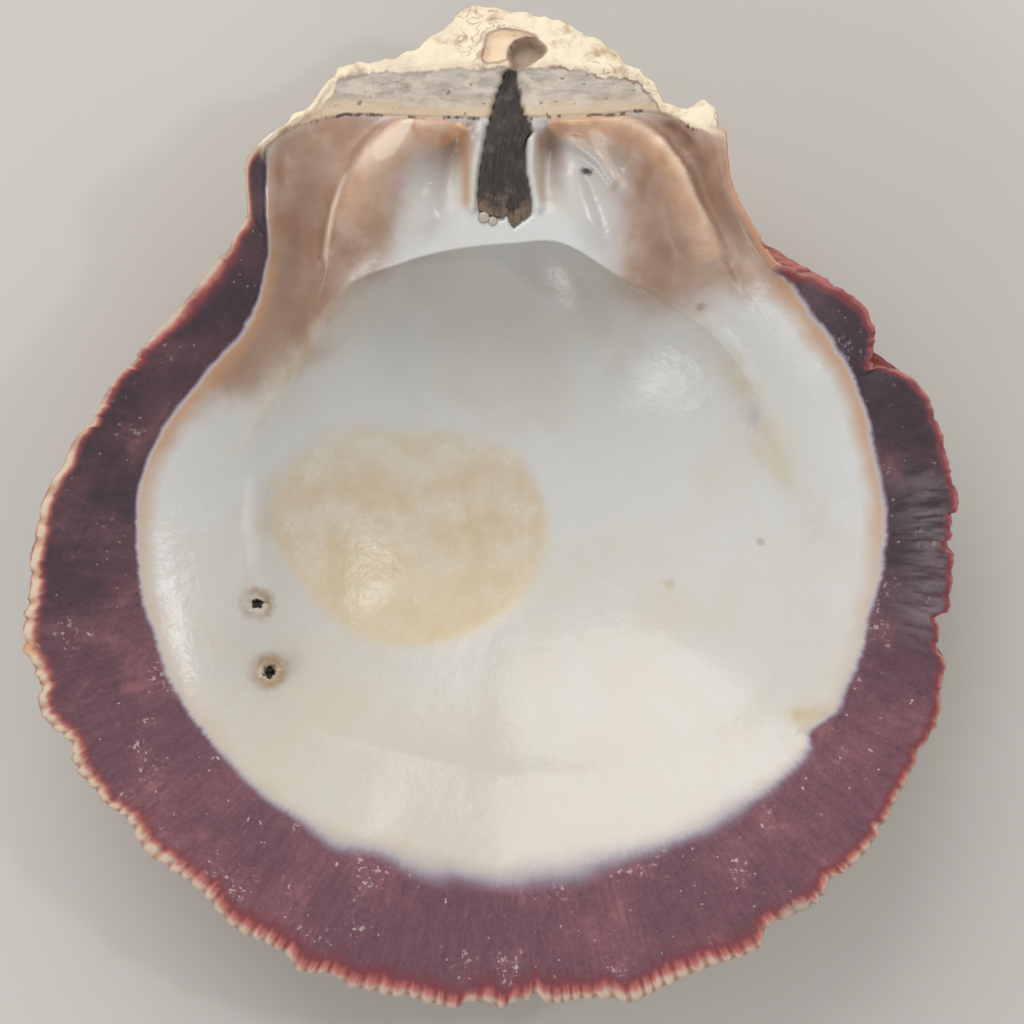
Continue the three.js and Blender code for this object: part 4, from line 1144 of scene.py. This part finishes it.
def chalky_hinge(tree, seen):
    """The colour behind the hinge line, and the height of its relief."""
    crumbs = use(tree, chalk, Place=seen.place)
    stripes = cloud(tree, stretched(tree, seen.place, 150.0, 560.0, 560.0), 1.0, 5.0, 0.68)
    strip = blend(tree, span(tree, stripes, 0.32, 0.68), STRIP_GREY, STRIP_PALE)
    strip = blend(tree, span(tree, seen.patchy, 0.46, 0.62, 0.0, 0.6), strip, STRIP_CREAM)
    lowest = span(tree, shifted(tree, seen.band, seen.patchy, 7.0), 4.2, 0.6, 0.0, 0.75)
    strip = blend(tree, lowest, strip, STRIP_TAN)
    specks = span(tree, cloud(tree, seen.place, 800.0), 0.64, 0.7, 0.0, 0.7)
    strip = blend(tree, specks, strip, STRIP_SPECK)
    depth = shifted(tree, attribute(tree, "crust"), crumbs["Height"], 3.0)
    depth = shifted(tree, depth, seen.mottle, 2.5)
    # A thin dark seam where the crust meets the strip: partly a real plum line, partly painted shade under
    # the crust's overhanging edge.
    seam_and_shade = product(tree, span(tree, depth, -0.9, -0.3), span(tree, depth, -0.2, 0.4, 1.0, 0.0))
    seam_and_shade = product(tree, seam_and_shade, span(tree, seen.patchy, 0.42, 0.58))
    seam_and_shade = product(tree, seam_and_shade, span(tree, seen.axes[0], -0.006, 0.006, 0.35, 0.75))
    strip = blend(tree, seam_and_shade, strip, SEAM_LINE_AND_SHADE)
    crust = crumbs["Colour"]
    for hollow, sides, dark, light in HOLLOW_WALL_SHADING:
        inside = shifted(tree, attribute(tree, hollow), seen.patchy, 0.8)
        # Painted shading across the hollow, darker on one side and lighter on the other.
        shaded_wall = blend(tree, span(tree, seen.axes[0], *sides), dark, light)
        crust = blend(tree, span(tree, inside, -0.1, 0.25), crust, shaded_wall)
        lip = product(tree, span(tree, inside, -0.5, -0.1), span(tree, inside, 0.0, 0.3, 0.6, 0.0))
        crust = blend(tree, lip, crust, HOLLOW_LIP)
    rugged = maths(tree, "MULTIPLY_ADD", crumbs["Height"], 1.6, product(tree, stripes, 0.5))
    return blend(tree, span(tree, depth, -0.3, 0.3), strip, crust), rugged


def hinge_joined(tree, seen, colour, behind):
    """Two colours that meet at the cracked hinge line, and the share of the one behind it."""
    line = shifted(tree, seen.band, cloud(tree, seen.place, 280.0), 1.5)
    share = product(tree, span(tree, line, -0.2, 0.3), seen.chalky)
    crack = span(tree, maths(tree, "ABSOLUTE", line), 0.1, 0.5, 1.0, 0.0)
    dashes = cloud(tree, stretched(tree, seen.place, 330.0, 90.0, 90.0), 1.0, 4.0, 0.65)
    crack = product(tree, crack, span(tree, dashes, 0.49, 0.57), seen.chalky, 0.85)
    return blend(tree, crack, blend(tree, share, colour, behind), HINGE_CRACK), share


# Small marks on the parts of the inner side: place, half sizes, colour, strength.
MARKS = {
    "band": [
        ((-79.8, -19.8, -1), (1.9, 1.4), (210, 152, 112), 0.6),  # a stub of a spine at the edge
        ((48.0, -63.0, -1), (3.4, 2.0), (170, 162, 152), 0.7),  # a chalky flake in the fringe
        ((-6.8, -75.6, -1), (1.4, 1.2), (96, 66, 78), 0.6),  # a chip in the fringe
    ],
    "plate": [((12.3, 59.6, -3.5), (1.1, 0.7), (74, 70, 66), 1.0)],
    "specks": [
        ((41.2, 18.9, -14), (1.4, 2.2), (176, 181, 183), 0.55),
        ((31.8, 37.4, -12), (1.0, 0.7), (140, 128, 104), 0.55),
        ((42.5, -2.0, -15), (0.9, 0.7), (166, 156, 128), 0.5),
        ((27.2, -9.3, -20), (1.2, 1.1), (196, 182, 152), 0.6),
    ],
}


def oval(tree, place, centre, halves):
    """Distance from the middle of an oval seen from above, as a share of its own size."""
    middle = settled(np.array([centre]))[0]
    off = add(tree, "ShaderNodeVectorMath", {0: place, 1: middle}, operation="SUBTRACT").outputs[0]
    off = stretched(tree, off, 1 / (halves[0] * MM), 1 / (halves[1] * MM), 0.0)
    return add(tree, "ShaderNodeVectorMath", {0: off}, operation="LENGTH").outputs["Value"]


def marked(tree, seen, colour, marks):
    for centre, halves, tint, strength in marks:
        away = shifted(tree, oval(tree, seen.place, centre, halves), seen.grain, 1.6)
        colour = blend(tree, span(tree, away, 0.3, 1.3, strength, 0.0), colour, paint(*tint))
    return colour


# The inner side: glossy porcelain, a duller band and plate, and a chalky hinge, all gently uneven.
GLAZE_ROUGHNESS = 0.26
CALLUS_ROUGHNESS = 0.36
BAND_ROUGHNESS = 0.48
CHALK_ROUGHNESS = 0.85
ROUGHNESS_MOTTLE = 0.12
GLAZE_RELIEF = 0.8
STREAK_RELIEF = 0.3
INNER_RELIEF = 0.6 * MM
INNER_RELIEF_STRENGTH = 0.6


def inner_side(name, *parts):
    """A material of the inner side, with the parts of it that show on its faces."""
    new, tree, shader, place = material(name)
    seen = inner_values(tree, place)
    lined = "porcelain" in parts
    rough = GLAZE_ROUGHNESS
    height = product(tree, cloud(tree, place, 110.0, 4.0, 0.62), GLAZE_RELIEF)
    past_border = span(tree, seen.band, -0.2, 0.6)
    if lined:
        colour = porcelain(tree, seen)
    if "scar" in parts:
        colour = muscle_scar(tree, seen, colour)
    if "plate" in parts:
        colour, callus = hinge_plate(tree, seen, colour)
        rough = maths(tree, "MAXIMUM", rough, product(tree, callus, CALLUS_ROUGHNESS))
    elif lined:
        colour = with_crest_highlights(tree, seen, stained_and_shaded(tree, colour))
    if "band" in parts:
        plum = dark_band(tree, seen)
        tips = fringe_tips(tree, seen)
        if lined:
            colour, share = thinned(tree, seen, colour)
            colour = blend(tree, share, colour, plum)
            colour = blend(tree, product(tree, tips["Share"], seen.free), colour, tips["Colour"])
            rough = maths(tree, "MAXIMUM", rough, product(tree, share, BAND_ROUGHNESS))
        else:
            colour = blend(tree, tips["Share"], plum, tips["Colour"])
            rough = BAND_ROUGHNESS
        streaked = shifted(tree, seen.lines["Fine"], seen.grain, 0.8)
        streaked = product(tree, streaked, seen.free, past_border, STREAK_RELIEF)
        height = maths(tree, "ADD", height, streaked)
    if "hinge" in parts:
        behind, rugged = chalky_hinge(tree, seen)
        if lined:
            colour, share = hinge_joined(tree, seen, colour, behind)
            rough = maths(tree, "MAXIMUM", rough, product(tree, share, CHALK_ROUGHNESS))
        else:
            colour = behind
            rough = CHALK_ROUGHNESS
        height = maths(tree, "ADD", height, product(tree, rugged, seen.chalky, past_border))
    for part in parts:
        colour = marked(tree, seen, colour, MARKS.get(part, []))
    if "scar" in parts:
        colour = bored(tree, seen, colour)
    tree.links.new(colour, shader["Base Color"])
    tree.links.new(shifted(tree, rough, seen.mottle, ROUGHNESS_MOTTLE), shader["Roughness"])
    bump = {"Height": height, "Strength": INNER_RELIEF_STRENGTH, "Distance": INNER_RELIEF}
    tree.links.new(add(tree, "ShaderNodeBump", bump).outputs["Normal"], shader["Normal"])
    return new


# Faces well inside one part get a material with that part alone; those where parts meet get them all.
PLATE_BEGINS = 38.0  # distance to the hinge past which a face may be on the plate
CALLUS_FADE = -7.5  # depth in the callus, the scar or the veil at which no trace of them is left
SCAR_FADE = -5.0
VEIL_FADE = -1.4
VEIL_REACH = (3.0, 1.9)  # of the veil's width, inwards and outwards of the border
BAND_FULL = 1.3
MIDDLE = (15.0, 20.0)  # the scar and the holes lie to the left of this, the specks to its right
corners = np.array([face if len(face) == 4 else face + face[-1:] for face in faces])


def least(values):
    return values[corners].min(1)


def most(values):
    return values[corners].max(1)


every_face = np.ones(len(faces), bool)
bare = most(fields["band"] + VEIL_REACH[0] * fields["veil"]) < VEIL_FADE
bare |= (most(fields["free"]) == 0) & (most(fields["band"]) < VEIL_FADE)
uncalloused = most(fields["callus"]) < CALLUS_FADE
unscarred = most(fields["scar"]) < SCAR_FADE
bowl = bare & uncalloused & (least(plan_y) <= PLATE_BEGINS)
plate = bare & unscarred & (least(plan_y) > PLATE_BEGINS)
free = (least(fields["free"]) == 1) & (most(fields["ear"]) == 0)
border = free & ~bare & uncalloused & unscarred
banded = free & (least(fields["band"] - VEIL_REACH[1] * fields["veil"]) > BAND_FULL)
chalky = (least(fields["chalky"]) == 1) & (least(fields["band"]) > BAND_FULL)
part_of = np.zeros(len(faces), int)
for index, (name, parts, chosen) in enumerate([
    ("shell_lining", ("porcelain", "scar", "specks", "plate", "band", "hinge"), every_face),
    ("shell_scar", ("porcelain", "scar"), bowl & (most(plan_x) < MIDDLE[1])),
    ("shell_floor", ("porcelain", "specks"), bowl & (least(plan_x) > MIDDLE[0])),
    ("shell_plate", ("porcelain", "plate"), plate),
    ("shell_border", ("porcelain", "band"), border),
    ("shell_band", ("band",), banded),
    ("shell_hinge", ("hinge",), chalky),
]):
    mesh.materials.append(inner_side(name, *parts))
    part_of[chosen] = index
mesh.polygons.foreach_set("material_index", part_of)

# The back: ribbed in dull red and pink, cream where it is crusted and worn.
BACK_RED = paint(150, 78, 76)
BACK_PINK = paint(206, 140, 116)
BACK_DARK = paint(110, 52, 60)
EAR_BACK = paint(204, 146, 112)
BACK_ROUGHNESS = 0.72
BACK_RELIEF = 0.8 * MM
BACK_RELIEF_STRENGTH = 0.5

outside, tree, shader, place = material("shell_back")
rib = attribute(tree, "rib")
lines = use(tree, streaks, Rib=rib, Edge=attribute(tree, "edge"))
crumbs = use(tree, chalk, Place=place)
reach = shifted(tree, attribute(tree, "fringe"), lines["Fine"], 0.55)
tips = use(tree, fringe, Reach=reach, Rib=rib, Paleness=attribute(tree, "pale"))
colour = blend(tree, span(tree, lines["Broad"], 0.35, 0.65), BACK_RED, BACK_PINK)
darker = blend(tree, 0.4, colour, BACK_DARK)
colour = blend(tree, span(tree, lines["Fine"], 0.4, 0.65), darker, colour)
colour = blend(tree, product(tree, tips["Share"], attribute(tree, "free")), colour, tips["Colour"])
worn = shifted(tree, attribute(tree, "crusty"), cloud(tree, place, 34.0, 5.0, 0.65), 2.8)
worn = shifted(tree, worn, lines["Broad"], 1.5)
colour = blend(tree, span(tree, worn, 0.25, 0.8), colour, crumbs["Colour"])
ear_edge = product(tree, attribute(tree, "ear"), span(tree, attribute(tree, "edge"), 1.0, 7.0, 1.0, 0.0))
colour = blend(tree, ear_edge, colour, EAR_BACK)
tree.links.new(colour, shader["Base Color"])
shader["Roughness"].default_value = BACK_ROUGHNESS
bump = {"Height": crumbs["Height"], "Strength": BACK_RELIEF_STRENGTH, "Distance": BACK_RELIEF}
tree.links.new(add(tree, "ShaderNodeBump", bump).outputs["Normal"], shader["Normal"])

# Relief of the crust, ribs and layers of the back, and its spines, on the valve's mesh.
LAYERS = 26.0  # from the beak to the margin
LAYER_WAVER = 3.0
SPINE_BEND = 0.6
SPINE_SIDES = 7
SPINE_TIP = 0.12  # of its width at the foot
BACK_BEGINS = 0.6  # share of the back past which a point belongs to it

shape = bpy.data.node_groups.new("back_relief", "GeometryNodeTree")
for name, kind, value in (
    ("Geometry", "Geometry", None),
    ("Rib Height", "Float", 0.42 * MM),
    ("Main Rib Height", "Float", 0.7 * MM),
    ("Layer Height", "Float", 0.35 * MM),
    ("Crust Height", "Float", 2.4 * MM),
    ("Spine Width", "Float", 0.28),
    ("Seed", "Int", 5),
    ("Back", "Material", None),
):
    socket = shape.interface.new_socket(name, in_out="INPUT", socket_type="NodeSocket" + kind)
    if value is not None:
        socket.default_value = value
shape.interface.new_socket("Geometry", in_out="OUTPUT", socket_type="NodeSocketGeometry")
given = shape.nodes.new("NodeGroupInput").outputs


def stored(name, kind="FLOAT"):
    node = add(shape, "GeometryNodeInputNamedAttribute", {"Name": name}, data_type=kind)
    return next(s for s in node.outputs if s.enabled and s.name == "Attribute")


def ridge(count, height, start, full):
    """Ridges, a whole one for each step of the count, that rise between two stages of growth."""
    wave = maths(shape, "COSINE", maths(shape, "MULTIPLY_ADD", count, 2 * math.pi, math.pi))
    return product(shape, wave, height, span(shape, stored("growth"), start, full))


rib = stored("rib")
spot = shape.nodes.new("GeometryNodeInputPosition").outputs[0]
lift = ridge(rib, given["Rib Height"], 0.5, 0.85)
main_rib = maths(shape, "MULTIPLY", rib, 1 / RIBS_PER_MAIN_RIB)
lift = maths(shape, "ADD", lift, ridge(main_rib, given["Main Rib Height"], 0.2, 0.6))
lift = product(shape, lift, stored("ribs"))
waver = product(shape, cloud(shape, spot, 60.0), LAYER_WAVER)
layer = maths(shape, "MULTIPLY_ADD", stored("growth"), LAYERS, waver)
lift = maths(shape, "ADD", lift, product(shape, maths(shape, "FRACT", layer), given["Layer Height"]))
lift = product(shape, lift, span(shape, stored("back"), BACK_BEGINS, 1.0))
lumps = product(shape, shifted(shape, 0.0, cloud(shape, spot, 190.0, 4.0), 1.0), given["Crust Height"])
lift = maths(shape, "ADD", lift, product(shape, lumps, stored("lumpy")))
normal = shape.nodes.new("GeometryNodeInputNormal").outputs[0]
offset = add(shape, "ShaderNodeVectorMath", {0: normal, "Scale": lift}, operation="SCALE").outputs[0]
risen = add(shape, "GeometryNodeSetPosition", {"Geometry": given["Geometry"], "Offset": offset}).outputs[0]
axes = add(shape, "ShaderNodeSeparateXYZ", {0: spot}).outputs
grounded = {0: axes[0], 1: axes[1], 2: maths(shape, "MAXIMUM", axes[2], 0.0)}
grounded = add(shape, "ShaderNodeCombineXYZ", grounded).outputs[0]
resting = add(shape, "GeometryNodeSetPosition", {"Geometry": risen, "Position": grounded}).outputs[0]

cone = add(shape, "GeometryNodeMeshCone", {
    "Vertices": SPINE_SIDES,
    "Side Segments": 4,
    "Fill Segments": 1,
    "Radius Top": SPINE_TIP,
    "Radius Bottom": 1.0,
    "Depth": 1.0,
})
bend = add(shape, "ShaderNodeCombineXYZ", {0: product(shape, axes[2], axes[2], SPINE_BEND)}).outputs[0]
bent = add(shape, "GeometryNodeSetPosition", {"Geometry": cone.outputs["Mesh"], "Offset": bend}).outputs[0]
barb = add(shape, "GeometryNodeSetMaterial", {"Geometry": bent, "Material": given["Back"]}).outputs[0]
way = stored("spine_way", "FLOAT_VECTOR")
tilt = add(shape, "FunctionNodeAlignRotationToVector", {"Vector": way}, axis="Z").outputs[0]
uneven = add(shape, "FunctionNodeRandomValue", {"Seed": given["Seed"]}, data_type="FLOAT")
uneven = span(shape, next(s for s in uneven.outputs if s.enabled), 0.0, 1.0, 0.75, 1.15)
length = product(shape, stored("spine"), uneven)
girth = product(shape, length, given["Spine Width"])
size = add(shape, "ShaderNodeCombineXYZ", {0: girth, 1: girth, 2: length}).outputs[0]
spines = add(shape, "GeometryNodeInstanceOnPoints", {
    "Points": resting,
    "Selection": maths(shape, "GREATER_THAN", stored("spine"), 0.0),
    "Instance": barb,
    "Rotation": tilt,
    "Scale": size,
})
joined = shape.nodes.new("GeometryNodeJoinGeometry")
shape.links.new(spines.outputs[0], joined.inputs[0])
shape.links.new(resting, joined.inputs[0])
real = add(shape, "GeometryNodeRealizeInstances", {"Geometry": joined.outputs[0]}).outputs[0]
shaded = add(shape, "GeometryNodeSetShadeSmooth", {"Geometry": real}).outputs[0]
backed = add(shape, "GeometryNodeSetMaterial", {
    "Geometry": shaded,
    "Selection": maths(shape, "GREATER_THAN", stored("back"), BACK_BEGINS),
    "Material": given["Back"],
})
shape.links.new(backed.outputs[0], shape.nodes.new("NodeGroupOutput").inputs[0])


def plain_mesh(piece, modifier):
    """Makes what the modifier gives into the piece's own mesh, without unused material slots."""
    depsgraph = bpy.context.evaluated_depsgraph_get()
    made = bpy.data.meshes.new_from_object(piece.evaluated_get(depsgraph))
    piece.modifiers.remove(modifier)
    piece.data = made
    for empty in reversed([i for i, slot in enumerate(made.materials) if slot is None]):
        made.materials.pop(index=empty)
    made.name = piece.name


modifier = valve.modifiers.new("back_relief", "NODES")
modifier.node_group = shape
back_socket = next(s for s in shape.interface.items_tree if s.name == "Back")
modifier[back_socket.identifier] = outside
plain_mesh(valve, modifier)
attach(valve, "root")
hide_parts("valve")

# The ligament. A dried pad of dark horny fibre that fills the groove in the middle of the hinge;
# it frays at its lower end, where a few beads of pale resin stand beside it.
FIBRE_COLUMNS = 60
FIBRE_ROWS = 110
CROWN = 0.5
FIBRE_DEPTH = 0.1
FIBRE_SMOOTHING = [0.25, 0.5, 0.25]
FRAY = 0.14
FRAY_SEED = 8
LEAST_PAD = 0.2  # thinnest that the pad gets
BEADS = [((-4.7, 52.0, -3.8), 1.0), ((-3.2, 51.4, -3.9), 0.85)]  # place, radius
BEAD_FLATTENING = 0.3
HORN_DARK = paint(50, 45, 43)
HORN = paint(80, 74, 70)
HORN_DUST = paint(112, 102, 94)
HORN_SIDE = paint(120, 88, 60)
HORN_FRAYED = paint(150, 128, 104)
RESIN = paint(178, 170, 158)
RESIN_EDGE_SHADE = paint(122, 90, 62)
HORN_ROUGHNESS = 0.75
RESIN_ROUGHNESS = 0.22
HORN_RELIEF = 0.4 * MM
HORN_RELIEF_STRENGTH = 0.8

u = np.linspace(0, 1, FIBRE_COLUMNS)[None, :]
v = np.linspace(0, 1, FIBRE_ROWS)[:, None]
fray_rng = np.random.default_rng(FRAY_SEED)
end = np.interp(u, FRAYED_END[:, 0], FRAYED_END[:, 1]) + fray_rng.uniform(0, FRAY, FIBRE_COLUMNS)
lig_y = lerp(LIGAMENT[-1, 0], end, v)
lig_left = np.interp(lig_y, LIGAMENT[:, 0], LIGAMENT[:, 1])
lig_right = np.interp(lig_y, LIGAMENT[:, 0], LIGAMENT[:, 2])
lig_x = lerp(lig_left, lig_right, u)
fibres = np.convolve(fray_rng.normal(size=FIBRE_COLUMNS + 2), FIBRE_SMOOTHING, "valid")[None, :]
drift = np.sin(v * 9 + 5 * u) * 0.5 + 1
lig_z = ligament_top(lig_y) + CROWN * (np.sqrt(1 - (2 * u - 1) ** 2) - 1) + FIBRE_DEPTH * fibres * drift
lig_floor = ligament_top(lig_y) - ligament_thickness(lig_y)
lig_z = np.maximum(lig_z, lig_floor + LEAST_PAD)
upper = np.stack([lig_x, lig_y, lig_z], 2).reshape(-1, 3)
lower = np.stack([lig_x, lig_y, lig_floor], 2).reshape(-1, 3)
grid = np.arange(FIBRE_ROWS * FIBRE_COLUMNS).reshape(FIBRE_ROWS, FIBRE_COLUMNS)
under = grid + grid.size


def sheet_faces(a):
    return np.stack([a[:-1, :-1], a[1:, :-1], a[1:, 1:], a[:-1, 1:]], 2).reshape(-1, 4)


def wall_faces(top, bottom):
    return np.stack([top[:-1], bottom[:-1], bottom[1:], top[1:]], 1)


lig_faces = np.concatenate([
    sheet_faces(grid), sheet_faces(under)[:, ::-1],
    wall_faces(grid[0, ::-1], under[0, ::-1]), wall_faces(grid[-1], under[-1]),
    wall_faces(grid[:, 0], under[:, 0]), wall_faces(grid[::-1, -1], under[::-1, -1]),
])
mesh = bpy.data.meshes.new("ligament_pad")
mesh.from_pydata(settled(np.vstack([upper, lower])).tolist(), [], lig_faces.tolist())
fibre_field = np.tile(np.broadcast_to(u, grid.shape).ravel(), 2)
along_field = np.tile(np.broadcast_to(v, grid.shape).ravel(), 2)
mesh.attributes.new("fibre", "FLOAT", "POINT").data.foreach_set("value", fibre_field)
mesh.attributes.new("along", "FLOAT", "POINT").data.foreach_set("value", along_field)

pad = bmesh.new()
pad.from_mesh(mesh)
for centre, radius in BEADS:
    middle = Matrix.Translation(Vector(settled(np.array([centre]))[0]))
    spread = middle @ Matrix.Diagonal((1, 1, BEAD_FLATTENING, 1))
    bmesh.ops.create_uvsphere(pad, u_segments=20, v_segments=12, radius=radius * MM, matrix=spread)
pad.to_mesh(mesh)
pad.free()
bead_field = (np.arange(len(mesh.vertices)) >= len(fibre_field)).astype(float)
mesh.attributes.new("bead", "FLOAT", "POINT").data.foreach_set("value", bead_field)
mesh.shade_smooth()
ligament = bpy.data.objects.new("ligament_pad", mesh)
bpy.context.collection.objects.link(ligament)

horn, tree, shader, place = material("ligament_horn")
along = attribute(tree, "along")
fibre = attribute(tree, "fibre")
across_fibres = add(tree, "ShaderNodeCombineXYZ", {
    0: maths(tree, "MULTIPLY", fibre, 16.0), 1: maths(tree, "MULTIPLY", along, 11.0),
}).outputs[0]
strands = cloud(tree, across_fibres, 1.0, 5.0, 0.75)
dust = cloud(tree, place, 420.0, 5.0, 0.65)
colour = blend(tree, span(tree, strands, 0.3, 0.75), HORN_DARK, HORN)
colour = blend(tree, span(tree, dust, 0.48, 0.72, 0.0, 0.6), colour, HORN_DUST)
side = maths(tree, "ABSOLUTE", maths(tree, "SUBTRACT", fibre, 0.5))
browned = span(tree, shifted(tree, side, dust, 0.08), 0.46, 0.5)
colour = blend(tree, product(tree, browned, 0.5), colour, HORN_SIDE)
frayed = span(tree, shifted(tree, shifted(tree, along, strands, 0.5), dust, 0.5), 0.86, 1.02)
colour = blend(tree, product(tree, frayed, 0.55), colour, HORN_FRAYED)
bead = attribute(tree, "bead")
# Painted shade: the beads turn brown towards their outline, where they face away from the camera.
rim = add(tree, "ShaderNodeLayerWeight").outputs["Facing"]
resin = blend(tree, span(tree, rim, 0.05, 0.5), RESIN, RESIN_EDGE_SHADE)
colour = blend(tree, bead, colour, resin)
tree.links.new(colour, shader["Base Color"])
tree.links.new(span(tree, bead, 0.0, 1.0, HORN_ROUGHNESS, RESIN_ROUGHNESS), shader["Roughness"])
bump = {"Height": strands, "Strength": HORN_RELIEF_STRENGTH, "Distance": HORN_RELIEF}
tree.links.new(add(tree, "ShaderNodeBump", bump).outputs["Normal"], shader["Normal"])
mesh.materials.append(horn)
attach(ligament, "root")
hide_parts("ligament")

# The floor, the light and the camera, which looks straight into the hollow.
FLOOR_SIZE = 4.0
FLOOR_GREY = paint(205, 203, 199)
FLOOR_ROUGHNESS = 0.9
CAMERA_DISTANCE = 450.0  # from the plane of the margin
PICTURE_WIDTH = 168.96  # of that plane
SENSOR = 36.0
AIM = (0.0, 2.97)  # where it looks, in that plane
LIGHTS = [
    ("key_light", (-0.25, 0.7, 0.6), 5.3, (0.9, 0.9)),
    ("front_light", (-0.3, -0.55, 0.45), 1.2, (0.5, 0.07)),
    ("side_light", (0.42, 0.05, 0.6), 0.5, (0.06, 0.06)),
]  # name, place, power, width and height
STUDIO_WHITE = paint(255, 251, 246)
STUDIO_STRENGTH = 0.49

bpy.ops.mesh.primitive_plane_add(size=FLOOR_SIZE)
floor = bpy.context.object
floor.name = "floor"
floor_paint, tree, shader, place = material("floor_paint")
shader["Base Color"].default_value = FLOOR_GREY
shader["Roughness"].default_value = FLOOR_ROUGHNESS
floor.data.materials.append(floor_paint)

camera_data = bpy.data.cameras.new("camera")
camera_data.sensor_width = SENSOR
camera_data.lens = SENSOR * CAMERA_DISTANCE / PICTURE_WIDTH
camera = bpy.data.objects.new("camera", camera_data)
bpy.context.collection.objects.link(camera)
stand = SETTLE @ Matrix.Translation(Vector((*AIM, CAMERA_DISTANCE)))
camera.matrix_world = Matrix.Translation(stand.translation * MM) @ stand.to_3x3().to_4x4()
bpy.context.scene.camera = camera

for name, spot, power, size in LIGHTS:
    light_data = bpy.data.lights.new(name, "AREA")
    light_data.energy = power
    light_data.shape = "ELLIPSE"
    light_data.size, light_data.size_y = size
    light = bpy.data.objects.new(name, light_data)
    bpy.context.collection.objects.link(light)
    light.location = spot
    light.rotation_euler = (-Vector(spot)).to_track_quat("-Z", "Y").to_euler()

world = bpy.data.worlds.new("studio")
world.use_nodes = True
backdrop = world.node_tree.nodes["Background"].inputs
backdrop["Color"].default_value = STUDIO_WHITE
backdrop["Strength"].default_value = STUDIO_STRENGTH
bpy.context.scene.world = world
bpy.context.scene.view_settings.view_transform = "Standard"
